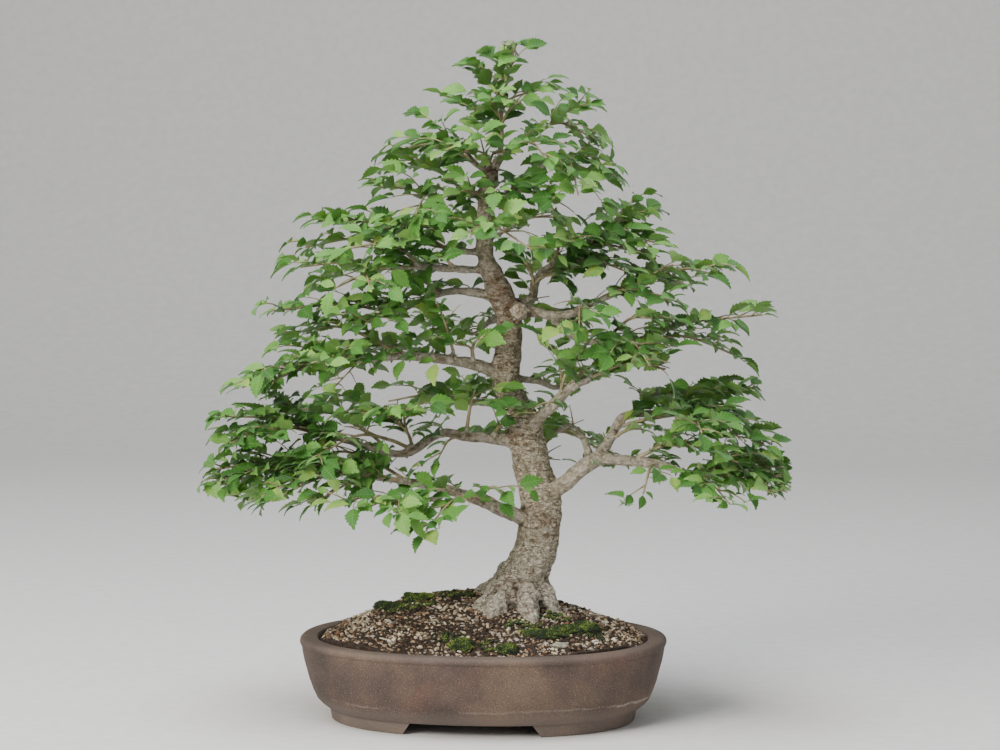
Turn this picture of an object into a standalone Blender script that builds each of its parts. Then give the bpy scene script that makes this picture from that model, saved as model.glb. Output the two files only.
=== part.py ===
"""Chinese hackberry bonsai: a slender informal upright tree in an unglazed oval clay pot.

Lengths in the tables are millimetres, measured from the middle of the pot at the height its feet
stand on: +X runs along the pot to the right, +Y away from the viewer, +Z up. The whole bonsai
hangs on one empty that moves the middle of its outer box onto the world origin.
"""
import math
import random

import bmesh
import bpy
from mathutils import Matrix, Vector
from mathutils.bvhtree import BVHTree

MM = 0.001
OBJECT_NAME = "chinese_hackberry_bonsai"
# from the middle of the pot to the middle of the tree's outer box
BOX_SHIFT = (-11.5, -30.5, 0)
# between two pieces that touch, and round the soil
CLEARANCE = 0.3
SOIL_GAP = 0.4

# pot
HALF_LENGTH = 165
HALF_WIDTH = 127
SQUARENESS = 2.2
POT_HEIGHT = 74.3
FOOT_HEIGHT = 11.2
FLOOR = 20.5
POT_SIDES = 32
# the wall from the underside up, over the lip and down to the floor: (in from the rim, height)
POT_PROFILE = (
    (24, FOOT_HEIGHT), (14, 20), (5, 46), (-1.2, 67), (0, POT_HEIGHT - 1),
    (2, POT_HEIGHT), (15, POT_HEIGHT), (16.5, 66), (12.5, 57), (20, 28), (33, FLOOR),
)
# where the inner wall starts, under the lip
LIP_LEVEL = 7
FOOT_TOP_INSET = 25.5
FOOT_BASE_INSET = 27.8
FOOT_WALL = 19
FOOT_TAPER = 4
# how far the feet reach up into the pot's underside
FOOT_SINK = 1.5
# how far a cutter reaches past what it cuts
CUT_PAST = 1
# half the gap between the two feet, under the pot and at the ground
FOOT_GAP_TOP = 52
FOOT_GAP_BASE = 62
DRAIN_RADIUS = 12
DRAIN_SIDES = 14
DRAIN_X = 62
SCREEN_SIZE = 34
SCREEN_THICKNESS = 1.2
SCREEN_CELLS = 5

# soil
SOIL_EDGE = 68.5
MOUND_HEIGHT = 42
MOUND_LEAN = 0.03
MOUND_BACK = 18
MOUND_INSET = 14
MOUND_POWER = 1.3
SOIL_RINGS = 6
GRIT = 2.3

# moss pads: (x, y, half length, half width, height)
MOSS_PADS = {
    "moss_front_left": ((-10, -90, 13, 8, 9),),
    "moss_front": ((32, -93, 12, 7.5, 8),),
    "moss_right": ((95, -38, 17, 12, 7), (79, -52, 16, 10, 6), (57, -65, 24, 9, 5.5)),
    "moss_left": ((-58, 2, 22, 13, 6.5), (-82, -4, 18, 12, 5.5)),
}
MOSS_SEGMENTS = 8
MOSS_RINGS = 6

# wood: each point is (x, y, z, radius)
TRUNK_SIDES = 10
LIMB_SIDES = 6
THIN_SIDES = 4
TRUNK = (
    (35, -4, 80, 20), (35, -4, 105, 20.5), (36, -5, 119, 22), (39, -5, 131, 21.5),
    (44, -3, 144, 20), (50, 1, 161, 19.5), (51, 7, 198, 18.5), (44, 9, 223, 17),
    (36, 10, 264, 15.5), (26, 8, 289, 13), (20, 4, 311, 13), (24, -2, 355, 11.5),
    (19, -4, 377, 11.5), (10, -7, 398, 10), (3, -10, 420, 8), (3, -12, 454, 6.5),
    (5, -14, 476, 7), (9, -14, 491, 5.5), (16, -14, 503, 3.5), (18, -15, 520, 2.5),
    (18, -15, 536, 2),
)
# the trunk's first points, down in the soil
CROWN_POINTS = 5
ROOTS = {
    "left": ((23, -12, 123, 13.5), (12, -19, 109, 11.5), (1, -26, 97, 9), (-10, -33, 84, 5.5)),
    "front_left": ((27, -16, 118, 12.5), (19, -26, 108, 11.5), (11, -36, 99, 9), (4, -45, 85, 5)),
    "front": ((41, -17, 119, 11.5), (43, -27, 107, 10.5), (46, -35, 96, 8.5), (49, -44, 81, 4.5)),
    "right": ((52, -8, 119, 11), (61, -11, 106, 8.5), (67, -15, 95, 6.5), (78, -18, 81, 3.5)),
    "back_left": ((15, 8, 118, 11), (0, 20, 110, 8), (-18, 34, 100, 6.5), (-36, 47, 85, 3.5)),
    "back_right": ((42, 13, 118, 12), (48, 33, 104, 8.5), (56, 54, 88, 4.5)),
}
LIMBS = {
    "low_left": ((41, 0, 180, 7), (21, -12, 189, 6.5), (-2, -22, 200, 5.5),
                 (-28, -29, 209, 4.5), (-62, -32, 216, 3.5), (-96, -32, 220, 2.5)),
    "low_left_front": ((-28, -29, 209, 3), (-37, -46, 203, 2.5), (-54, -60, 202, 2.2)),
    "low_right": ((56, 4, 204, 9), (73, -2, 212, 8), (84, -5, 222, 7.5), (96, -6, 231, 7),
                  (108, -7, 236, 6), (132, -16, 235, 5), (156, -20, 234, 4), (178, -21, 228, 3)),
    "low_right_upper": ((103, -6, 234, 5), (112, 2, 249, 5), (119, 11, 263, 4.5),
                        (128, 17, 273, 4), (153, 28, 275, 3)),
    "low_right_back": ((98, -5, 232, 4), (90, 16, 251, 3.5), (76, 28, 262, 3.2),
                       (64, 67, 255, 2.6)),
    "second_left": ((27, 7, 251, 6.5), (5, 11, 252, 5), (-17, 12, 253, 4.5), (-39, 12, 256, 4),
                    (-64, 8, 241, 4), (-83, 3, 238, 3.5), (-129, -6, 251, 2.5)),
    "mid_right": ((44, 3, 266, 6), (57, -6, 278, 5.5), (69, -11, 289, 5), (80, -15, 300, 4.5),
                  (101, -18, 311, 3.2)),
    "back_right": ((23, 9, 308, 3.5), (50, 25, 302, 3), (62, 41, 296, 2.5), (81, 79, 297, 2)),
    "third_left": ((17, 0, 311, 6), (-7, -11, 320, 5.5), (-23, -19, 324, 5),
                   (-43, -27, 327, 4.5), (-70, -35, 329, 4), (-95, -40, 326, 3)),
    "knob_right": ((26, -4, 368, 8), (38, -6, 368, 7.5), (48, -7, 367, 5), (63, -9, 364, 4.5),
                   (81, -10, 366, 4), (97, -10, 375, 3.5), (116, -10, 382, 2.6)),
    "knob_lower": ((64, -9, 363, 3.5), (75, -4, 350, 3.2), (91, 1, 341, 3.2), (110, 6, 341, 3),
                   (131, 12, 342, 2.3)),
    "high_right": ((22, 0, 373, 5.5), (42, 12, 378, 4.5), (46, 19, 395, 4), (61, 19, 409, 3.5),
                   (92, 14, 426, 2.5)),
    "fourth_left": ((14, -3, 381, 5), (-14, -1, 385, 4), (-35, 0, 384, 3.5),
                    (-56, 2, 376, 2.5)),
    "fifth_left": ((8, -8, 404, 4), (-23, -17, 406, 3.5), (-53, -28, 408, 3),
                   (-83, -35, 407, 2.3)),
    "sixth_left": ((4, -9, 421, 3.5), (-15, -6, 421, 3), (-30, -3, 424, 2.4)),
    "seventh_left": ((5, -12, 473, 3), (-15, -12, 472, 2.6), (-32, -11, 471, 2.2)),
    "top_right": ((4, -12, 460, 3.5), (28, -15, 476, 3), (46, -17, 491, 2.6),
                  (63, -18, 500, 2.1)),
    "old_leader": ((6, -14, 480, 6.8), (10, -13, 493, 6.2), (9, -11, 499, 5)),
    "crown_left": ((9, -13, 491, 3), (-3, -14, 498, 2.6), (-12, -15, 504, 2.1)),
    "crown_right": ((17, -14, 504, 2.6), (35, -16, 516, 2.4), (50, -17, 526, 2)),
    "back_low": ((46, 12, 223, 5.5), (47, 55, 230, 4), (47, 95, 236, 2.8)),
    "back_mid": ((28, 9, 284, 5), (3, 51, 281, 4), (-28, 86, 278, 2.8)),
    "back_high": ((22, 0, 357, 4), (6, 37, 358, 3.5), (-13, 76, 346, 2.4)),
    "back_top": ((3, -10, 431, 3), (8, 31, 434, 2.6), (13, 58, 438, 2.1)),
    "front_high": ((3, -12, 436, 2.6), (6, -34, 439, 2.4), (10, -47, 441, 2.1)),
}

# leafy shoots: the wood and the point of its route that carries them, then each twig's tip
SHOOTS = {
    "low_left": ("low_left", 5, ((-243, -26, 213), (-187, -82, 208))),
    "low_left_back": ("low_left", 4, ((-198, 62, 214),)),
    "low_left_front": ("low_left_front", 2, ((-119, -101, 206), (-70, -110, 199))),
    "low_left_inner": ("low_left", 2, ((24, -62, 212),)),
    "second_left": ("second_left", 6, ((-219, -24, 255), (-230, -58, 276))),
    "second_left_back": ("second_left", 5, ((-203, 92, 266),)),
    "second_left_front": ("second_left", 4, ((-140, -90, 243),)),
    "second_left_upright": ("second_left", 2, ((-5, -19, 298),)),
    "second_left_fold": ("second_left", 1, ((51, -40, 280),)),
    "third_left": ("third_left", 5, ((-207, -64, 302), (-138, -104, 327))),
    "third_left_upper": ("third_left", 4, ((-176, 4, 346),)),
    "third_left_back": ("third_left", 3, ((-152, 99, 290),)),
    "third_left_arch": ("third_left", 2, ((-36, -44, 378),)),
    "fourth_left": ("fourth_left", 3, ((-188, -22, 368), (-96, -70, 359))),
    "fourth_left_back": ("fourth_left", 2, ((-156, 96, 381),)),
    "fifth_left": ("fifth_left", 3, ((-158, -44, 408), (-88, -98, 395))),
    "fifth_left_upper": ("fifth_left", 2, ((-163, 10, 424),)),
    "sixth_left": ("sixth_left", 2, ((-148, -14, 450), (-66, -63, 445))),
    "seventh_left": ("seventh_left", 2, ((-93, -16, 479), (-51, -72, 455))),
    "seventh_left_back": ("seventh_left", 1, ((-76, 52, 496),)),
    "crown_left": ("crown_left", 2, ((-44, -26, 538), (-80, 2, 511))),
    "crown_left_front": ("crown_left", 1, ((-25, -69, 511),)),
    "leader": ("trunk", 20, ((21, -17, 606), (58, 6, 567))),
    "leader_left": ("trunk", 19, ((-24, 8, 556),)),
    "crown_right": ("crown_right", 2, ((96, -20, 553), (100, 15, 521))),
    "crown_right_front": ("crown_right", 1, ((62, -66, 504),)),
    "top_right": ("top_right", 3, ((106, -13, 497), (90, -57, 472))),
    "top_right_back": ("top_right", 2, ((82, 62, 486),)),
    "top_right_low": ("top_right", 1, ((73, -44, 452),)),
    "high_right": ("high_right", 4, ((148, 9, 459), (154, -10, 430), (122, 80, 460))),
    "high_right_front": ("high_right", 3, ((86, -55, 432),)),
    "upper_right": ("knob_right", 6, ((206, 10, 407), (182, 76, 388))),
    "upper_right_front": ("knob_right", 5, ((92, -72, 357),)),
    "knob_lower": ("knob_lower", 4, ((228, 34, 326), (250, -8, 366))),
    "knob_lower_front": ("knob_lower", 3, ((153, -60, 324),)),
    "mid_right": ("mid_right", 4, ((165, -22, 318), (150, 66, 314))),
    "back_right": ("back_right", 3, ((134, 130, 325),)),
    "low_right_upper": ("low_right_upper", 4, ((242, 50, 297), (226, -34, 272))),
    "low_right_upper_back": ("low_right_upper", 3, ((191, 124, 276),)),
    "low_right_mid": ("low_right_upper", 2, ((252, 4, 250),)),
    "low_right": ("low_right", 7, ((262, -27, 209), (224, -84, 206), (262, 52, 226))),
    "low_right_hang": ("low_right", 6, ((148, -66, 212),)),
    "low_right_back": ("low_right_back", 3, ((108, 143, 222),)),
    "back_low": ("back_low", 2, ((74, 168, 248), (-23, 164, 238))),
    "back_mid": ("back_mid", 2, ((-106, 140, 274), (-10, 168, 290))),
    "back_high": ("back_high", 2, ((-80, 130, 336),)),
    "back_high_right": ("back_high", 1, ((62, 132, 345),)),
    "back_top": ("back_top", 2, ((69, 112, 450), (-45, 115, 447))),
    "front_high": ("front_high", 2, ((-5, -89, 440), (52, -83, 425))),
}
# a limb no thicker than this at its start has four sides in place of six
THIN_LIMB = 3.7
# what a leaf keeps off wood and off other shoots' twigs
SHIELD_SWELL = 0.6
SPUR_RADIUS = 2.3
SPUR_LENGTH = 6
TWIG_RADIUS = 1.8
TWIG_TIP_RADIUS = 0.85
# shares of a twig's length: its straight start, where a fork leaves that, and its later points
TWIG_RUN = 0.2
FORK_START = 0.05
TWIG_STEPS = (0.6, 1)
FORK_STEPS = (0.45, 1)
TWIG_BEND = 0.38
TWIG_ARCH = 0.07
TWIG_SWAY = 0.05
FORK_THINNING = 0.75

# leaves
LEAF_LENGTH = 27
LEAF_SIZES = (0.84, 1.14)
LEAF_SPACING = 42
FIRST_LEAF = 16
LEAF_SINK = 1.2
# a side leaf's heading, as shares of the twig's direction, its side and the upright
LEAF_ALONG = 0.55
LEAF_ACROSS = 0.8
LEAF_RISE = 0.1
LEAF_PITCH = (-0.35, 0.12)
LEAF_ROLL = 0.35
TIP_LEAF_FALL = 0.15
# a twig steeper than this lets its end leaf lean outwards
STEEP_TWIG = 0.75
# which way the upper faces look, as shares of upwards and outwards
FACE_UP = 0.8
FACE_OUT = 0.5
BLADE_THICKNESS = 0.034
TEST_THICKNESS = 0.085
# leaves farther apart than this many leaf lengths can't cross
NEIGHBOUR_REACH = 2.4
# one side of a blade from stalk to tip, with a tooth: (along, across) for a length of one
BLADE_OUTLINE = ((0, 0), (0.36, 0.35), (0.52, 0.255), (0.68, 0.265), (1, 0))
BLADE_MIDDLE = 0.5
BLADE_RISE = 0.16
# the fold along the rib and the droop of the tip, of each kind of blade
BLADE_KINDS = ((0.30, 0.34), (0.16, 0.52))
# turns tried, in degrees about the shoot's own upright and across the leaf, to pass neighbours
DODGES = (
    (0, 0), (0, 20), (0, -20), (22, 0), (-22, 0), (22, 22), (-22, -22), (45, 0), (-45, 0),
    (0, 42), (0, -42), (45, 35), (-45, 35), (70, 0), (-70, 0), (70, -35), (-70, -35),
)

COLOURS = {
    "clay": ((0.23, 0.17, 0.14), 0.85),
    "soil": ((0.16, 0.11, 0.075), 0.95),
    "moss": ((0.09, 0.16, 0.03), 0.95),
    "bark": ((0.27, 0.23, 0.19), 0.9),
    "leaf": ((0.10, 0.25, 0.06), 0.5),
    "net": ((0.03, 0.03, 0.03), 0.6),
}


def clear_scene():
    """Empty the file of objects."""
    for item in list(bpy.data.objects):
        bpy.data.objects.remove(item, do_unlink=True)


def make_material(name):
    """A plain Principled material in one of the bonsai's colours."""
    colour, roughness = COLOURS[name]
    material = bpy.data.materials.new(name)
    material.use_nodes = True
    shader = material.node_tree.nodes["Principled BSDF"]
    shader.inputs["Base Color"].default_value = (*colour, 1)
    shader.inputs["Roughness"].default_value = roughness
    shader.inputs["Metallic"].default_value = 0
    return material


def add_object(name, mesh, home):
    """Put a mesh in the scene as a named object."""
    item = bpy.data.objects.new(name, mesh)
    home.objects.link(item)
    return item


def bmesh_to_mesh(name, bm):
    """Turn a finished bmesh, in millimetres, into a mesh in metres."""
    bmesh.ops.scale(bm, vec=(MM, MM, MM), verts=bm.verts)
    mesh = bpy.data.meshes.new(name)
    bm.to_mesh(mesh)
    bm.free()
    return mesh


def evaluated_mesh(item):
    """The mesh an object shows once its modifiers have run."""
    bpy.context.view_layer.update()
    graph = bpy.context.evaluated_depsgraph_get()
    return bpy.data.meshes.new_from_object(item.evaluated_get(graph))


def drop(item):
    """Take an object and its data out of the file."""
    data = item.data
    bpy.data.objects.remove(item, do_unlink=True)
    if data.users == 0:
        bpy.data.batch_remove([data])


def boolean(item, operation, operands, solver="EXACT"):
    """Join or cut an object with others, apply the result and remove the others."""
    bench = bpy.data.collections.new("cutters")
    bpy.context.scene.collection.children.link(bench)
    for operand in operands:
        for home in list(operand.users_collection):
            home.objects.unlink(operand)
        bench.objects.link(operand)
        operand.hide_render = True
        operand.display_type = "WIRE"
    modifier = item.modifiers.new(operation.lower(), "BOOLEAN")
    modifier.operation = operation
    modifier.operand_type = "COLLECTION"
    modifier.collection = bench
    modifier.solver = solver
    mesh = evaluated_mesh(item)
    item.modifiers.clear()
    old = item.data
    item.data = mesh
    bpy.data.batch_remove([old])
    for operand in operands:
        drop(operand)
    bpy.data.collections.remove(bench)
    return item


def tube(name, route, sides, home, swell=0):
    """A tapering closed tube through points of (x, y, z, radius), as a mesh object."""
    curve = bpy.data.curves.new(name, "CURVE")
    curve.dimensions = "3D"
    curve.fill_mode = "FULL"
    curve.bevel_depth = MM
    curve.bevel_resolution = (sides - 4) // 2
    curve.use_fill_caps = True
    spline = curve.splines.new("POLY")
    spline.points.add(len(route) - 1)
    for point, (x, y, z, radius) in zip(spline.points, route):
        point.co = (x * MM, y * MM, z * MM, 1)
        point.radius = radius + swell
    guide = add_object(name, curve, home)
    mesh = evaluated_mesh(guide)
    drop(guide)
    bm = bmesh.new()
    bm.from_mesh(mesh)
    bmesh.ops.remove_doubles(bm, verts=bm.verts, dist=0.01 * MM)
    bm.to_mesh(mesh)
    bm.free()
    mesh.name = name
    return add_object(name, mesh, home)


def solid_tree(item, where=Matrix()):
    """The surface of an object, ready for a test of what crosses it."""
    corners = [where @ vertex.co for vertex in item.data.vertices]
    faces = [tuple(polygon.vertices) for polygon in item.data.polygons]
    return BVHTree.FromPolygons(corners, faces)


def oval(inset, height, sides):
    """Points round the pot's outline, moved in by a distance, at a height."""
    points = []
    for index in range(sides):
        angle = math.tau * index / sides
        reach = [abs(math.cos(angle)) ** (2 / SQUARENESS), abs(math.sin(angle)) ** (2 / SQUARENESS)]
        x = math.copysign(reach[0], math.cos(angle)) * (HALF_LENGTH - inset)
        y = math.copysign(reach[1], math.sin(angle)) * (HALF_WIDTH - inset)
        points.append(Vector((x, y, height)))
    return points


def ring_stack(levels, sides):
    """A skin raised level by level round the pot's outline, with open ends."""
    bm = bmesh.new()
    start = bmesh.ops.create_circle(bm, segments=sides, radius=1)["verts"]
    edges = bm.edges[:]
    ring = sorted(start, key=lambda vertex: math.atan2(vertex.co.y, vertex.co.x) % math.tau)
    for vertex, place in zip(ring, oval(*levels[0], sides)):
        vertex.co = place
    for level in levels[1:]:
        raised = bmesh.ops.extrude_edge_only(bm, edges=edges)["geom"]
        edges = [part for part in raised if isinstance(part, bmesh.types.BMEdge)]
        edges = [edge for edge in edges if all(vertex not in ring for vertex in edge.verts)]
        above = []
        for vertex in ring:
            near = [edge.other_vert(vertex) for edge in vertex.link_edges]
            above.append(next(other for other in near if any(other in edge.verts for edge in edges)))
        for vertex, place in zip(above, oval(*level, sides)):
            vertex.co = place
        ring = above
    return bm


def close_ends(bm):
    """Close every open rim with a flat face and point all faces outwards."""
    bmesh.ops.holes_fill(bm, edges=[edge for edge in bm.edges if edge.is_boundary], sides=0)
    bmesh.ops.recalc_face_normals(bm, faces=bm.faces)


def make_pot(home):
    """The fired pot: oval wall, lip and floor, two wrap-round feet and two drain holes."""
    bm = ring_stack(POT_PROFILE, POT_SIDES)
    close_ends(bm)
    pot = add_object("pot", bmesh_to_mesh("pot", bm), home)

    inner_top = FOOT_TOP_INSET + FOOT_WALL
    inner_base = FOOT_BASE_INSET + FOOT_WALL - FOOT_TAPER
    top = FOOT_HEIGHT + FOOT_SINK
    bm = ring_stack(
        ((FOOT_TOP_INSET, top), (FOOT_BASE_INSET, 0), (inner_base, 0), (inner_top, top)),
        POT_SIDES)
    rims = [edge for edge in bm.edges if edge.is_boundary]
    bmesh.ops.bridge_loops(bm, edges=rims)
    bmesh.ops.recalc_face_normals(bm, faces=bm.faces)
    feet = add_object("feet", bmesh_to_mesh("feet", bm), home)

    bm = bmesh.new()
    bmesh.ops.create_cube(bm, size=2)
    for vertex in bm.verts:
        low = vertex.co.z < 0
        vertex.co.x *= FOOT_GAP_BASE if low else FOOT_GAP_TOP
        vertex.co.y *= HALF_WIDTH
        vertex.co.z = -CUT_PAST if low else top + CUT_PAST
    gap = add_object("foot_gap", bmesh_to_mesh("foot_gap", bm), home)
    boolean(feet, "DIFFERENCE", [gap])
    boolean(pot, "UNION", [feet])

    drills = []
    for side in (-1, 1):
        bm = bmesh.new()
        bmesh.ops.create_cone(bm, cap_ends=True, segments=DRAIN_SIDES, radius1=DRAIN_RADIUS,
                              radius2=DRAIN_RADIUS, depth=3 * FLOOR)
        bmesh.ops.translate(bm, vec=(side * DRAIN_X, 0, FLOOR), verts=bm.verts)
        drills.append(add_object("drain", bmesh_to_mesh("drain", bm), home))
    return boolean(pot, "DIFFERENCE", drills)


def make_screen(name, side, home):
    """The plastic net that keeps the soil from running out of a drain hole."""
    bm = bmesh.new()
    bmesh.ops.create_grid(bm, x_segments=SCREEN_CELLS, y_segments=SCREEN_CELLS,
                          size=SCREEN_SIZE / 2)
    pitch = SCREEN_SIZE / SCREEN_CELLS
    windows = []
    for face in bm.faces:
        middle = face.calc_center_median()
        column = round((middle.x + SCREEN_SIZE / 2) / pitch - 0.5)
        row = round((middle.y + SCREEN_SIZE / 2) / pitch - 0.5)
        if column % 2 and row % 2:
            windows.append(face)
    bmesh.ops.delete(bm, geom=windows, context="FACES")
    sheet = bmesh.ops.extrude_face_region(bm, geom=bm.faces[:])["geom"]
    top = [part for part in sheet if isinstance(part, bmesh.types.BMVert)]
    bmesh.ops.translate(bm, vec=(0, 0, SCREEN_THICKNESS), verts=top)
    bmesh.ops.recalc_face_normals(bm, faces=bm.faces)
    bmesh.ops.translate(bm, vec=(side * DRAIN_X, 0, FLOOR + CLEARANCE), verts=bm.verts)
    return add_object(name, bmesh_to_mesh(name, bm), home)


def soil_height(x, y):
    """Height of the smooth mound, highest behind and left of the trunk."""
    across = max(0, 1 - (x / (HALF_LENGTH - MOUND_INSET)) ** 2)
    back = MOUND_BACK * across
    reach = HALF_WIDTH - MOUND_INSET
    depth = max(0, 1 - ((y - back) / (reach + (back if y < back else -back))) ** 2)
    return SOIL_EDGE + (MOUND_HEIGHT - MOUND_LEAN * x) * across * depth ** MOUND_POWER


def grit_relief(x, y):
    """Lumps of the gravel that covers the soil, some 20 mm across with 8 mm ones on them."""
    coarse = math.sin(0.31 * x + 1.7 * math.sin(0.17 * y)) * math.cos(0.27 * y - 0.09 * x)
    fine = math.sin(0.83 * x - 0.37 * y) * math.sin(0.71 * y + 0.29 * x)
    return GRIT * (0.6 * coarse + 0.4 * fine)


def make_soil(home):
    """The soil that fills the pot, mounded to the trunk, with its gritty top as relief."""
    wall = [(inset + SOIL_GAP, height) for inset, height in POT_PROFILE[LIP_LEVEL:]]
    wall[-1] = (wall[-1][0], FLOOR + SOIL_GAP)
    edge_inset = wall[0][0]
    bm = ring_stack(list(reversed(wall)) + [(edge_inset, SOIL_EDGE)], POT_SIDES)
    rim = oval(edge_inset, SOIL_EDGE, POT_SIDES)
    open_top = [edge for edge in bm.edges if edge.is_boundary and edge.verts[0].co.z > FLOOR + 1]
    ring = sorted({vertex for edge in open_top for vertex in edge.verts},
                  key=lambda vertex: math.atan2(vertex.co.y / HALF_WIDTH, vertex.co.x / HALF_LENGTH)
                  % math.tau)
    for step in range(1, SOIL_RINGS):
        share = 1 - step / SOIL_RINGS
        inner = []
        for corner in rim:
            x = corner.x * share
            y = corner.y * share
            inner.append(bm.verts.new((x, y, soil_height(x, y) + grit_relief(x, y))))
        for index in range(POT_SIDES):
            after = (index + 1) % POT_SIDES
            bm.faces.new((ring[index], ring[after], inner[after], inner[index]))
        ring = inner
    close_ends(bm)
    bmesh.ops.triangulate(bm, faces=bm.faces)
    return add_object("soil", bmesh_to_mesh("soil", bm), home)


def cut_soil(soil, home):
    """Plain holes in the soil for the root crown, and seats for the two screens."""
    trunk_hole = tube("trunk_hole", TRUNK[:CROWN_POINTS], TRUNK_SIDES, home, SOIL_GAP)
    trunk_hole.data.transform(Matrix.Translation((0, 0, -SOIL_GAP * MM)))
    cutters = [trunk_hole]
    for name, route in ROOTS.items():
        before = Vector(route[-2][:3])
        tip = Vector(route[-1][:3])
        tip += (tip - before).normalized() * SOIL_GAP
        longer = route[:-1] + ((*tip, route[-1][3]),)
        cutters.append(tube(name, longer, LIMB_SIDES, home, SOIL_GAP))
    seat = 2 * CLEARANCE
    for side in (-1, 1):
        bm = bmesh.new()
        bmesh.ops.create_cube(bm, size=1)
        size = SCREEN_SIZE + 2 * seat
        bmesh.ops.scale(bm, vec=(size, size, 2 * (SCREEN_THICKNESS + seat)), verts=bm.verts)
        bmesh.ops.translate(bm, vec=(side * DRAIN_X, 0, FLOOR + CLEARANCE), verts=bm.verts)
        cutters.append(add_object("seat", bmesh_to_mesh("seat", bm), home))
    return boolean(soil, "DIFFERENCE", cutters)


def make_moss(name, domes, soil, home):
    """A moss cushion: low domes joined, with the soil's relief on their underside."""
    pieces = []
    for x, y, length, width, height in domes:
        bm = bmesh.new()
        bmesh.ops.create_uvsphere(bm, u_segments=MOSS_SEGMENTS, v_segments=MOSS_RINGS, radius=1)
        bmesh.ops.scale(bm, vec=(length, width, height), verts=bm.verts)
        bmesh.ops.translate(bm, vec=(x, y, soil_height(x, y)), verts=bm.verts)
        pieces.append(add_object(name, bmesh_to_mesh(name, bm), home))
    moss = pieces[0]
    if len(pieces) > 1:
        boolean(moss, "UNION", pieces[1:])
    ground = add_object("ground", soil.data.copy(), home)
    ground.data.transform(Matrix.Translation((0, 0, SOIL_GAP * MM)))
    boolean(moss, "DIFFERENCE", [ground])
    moss.name = name
    return moss


def limb_route(name):
    """The route of a limb, or of the trunk."""
    return TRUNK if name == "trunk" else LIMBS[name]


def shoot_start(carrier, index, tips):
    """Where a shoot leaves the wood, its heading, and whether it needs a spur to stand on."""
    route = limb_route(carrier)
    x, y, z, radius = route[index]
    point = Vector((x, y, z))
    if index == len(route) - 1:
        heading = (point - Vector(route[index - 1][:3])).normalized()
        return point, heading, False
    middle = sum((Vector(tip) for tip in tips), Vector()) / len(tips)
    heading = (middle - point).normalized()
    heading = (heading + Vector((0, 0, 0.35))).normalized()
    return point + heading * (radius + SPUR_LENGTH), heading, True


def twig_route(start, heading, tip, key, first):
    """Points of one twig: it leaves straight off the wood, arches over and tapers to its tip."""
    draw = random.Random(key)
    end = Vector(tip)
    length = (end - start).length
    bend = start + heading * TWIG_BEND * length
    side = (end - start).cross(Vector((0, 0, 1)))
    side = side.normalized() if side.length > 1 else Vector((1, 0, 0))
    lift = Vector((0, 0, TWIG_ARCH * length))
    lift += side * draw.uniform(-TWIG_SWAY, TWIG_SWAY) * length
    thick = TWIG_RADIUS if first else FORK_THINNING * TWIG_RADIUS
    if first:
        route = [(*start, thick), (*(start + heading * TWIG_RUN * length), 0.9 * thick)]
    else:
        route = [(*(start + heading * FORK_START * length), thick)]
    for step in TWIG_STEPS if first else FORK_STEPS:
        point = start.lerp(bend, step).lerp(bend.lerp(end, step), step)
        point += lift * 4 * step * (1 - step)
        route.append((*point, thick + (TWIG_TIP_RADIUS - thick) * step))
    return route


def point_along(route, distance):
    """The point at a distance from the end of a route, and the route's direction there."""
    for index in range(len(route) - 1, 0, -1):
        here = Vector(route[index][:3])
        before = Vector(route[index - 1][:3])
        span = (here - before).length
        if distance <= span or index == 1:
            return here.lerp(before, min(distance / span, 1)), (here - before).normalized()
        distance -= span
    return None


def route_length(route):
    """The length of a route."""
    points = [Vector(point[:3]) for point in route]
    return sum((after - before).length for before, after in zip(points, points[1:]))


def blade_mesh(name, fold, droop, thickness):
    """A toothed leaf blade of unit length, folded along its rib, arched, in triangles."""
    bm = bmesh.new()
    count = 2 * (len(BLADE_OUTLINE) - 1)
    bmesh.ops.create_circle(bm, segments=count, radius=1, cap_ends=True, cap_tris=True)
    right = [(along, -across) for along, across in BLADE_OUTLINE]
    left = [(along, across) for along, across in reversed(BLADE_OUTLINE[1:-1])]
    outline = right + left
    middle = min(bm.verts, key=lambda vertex: vertex.co.length)
    edge = [vertex for vertex in bm.verts if vertex is not middle]
    edge.sort(key=lambda vertex: math.atan2(vertex.co.y, vertex.co.x) % math.tau)
    for vertex, (along, across) in zip(edge, outline):
        vertex.co = (along, across, 0)
    middle.co = (BLADE_MIDDLE, 0, 0)
    for vertex in bm.verts:
        along, across = vertex.co.x, vertex.co.y
        vertex.co.z = fold * abs(across) + BLADE_RISE * along - droop * along ** 2
    bmesh.ops.recalc_face_normals(bm, faces=bm.faces)
    bmesh.ops.solidify(bm, geom=bm.faces[:], thickness=thickness)
    bmesh.ops.recalc_face_normals(bm, faces=bm.faces)
    mesh = bpy.data.meshes.new(name)
    bm.to_mesh(mesh)
    bm.free()
    return mesh


def leaf_seats(key, route):
    """Where the leaves of a twig stand, from its tip back: point, direction and side."""
    seats = [(*point_along(route, LEAF_SINK), 0)]
    length = route_length(route)
    count = max(1, round((length - FIRST_LEAF) / LEAF_SPACING))
    draw = random.Random(key + " seats")
    side = draw.choice((-1, 1))
    gap = (length - FIRST_LEAF) / count
    for index in range(count):
        distance = gap * (index + 0.55)
        seats.append((*point_along(route, distance), side))
        side = -side
    return seats


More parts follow.
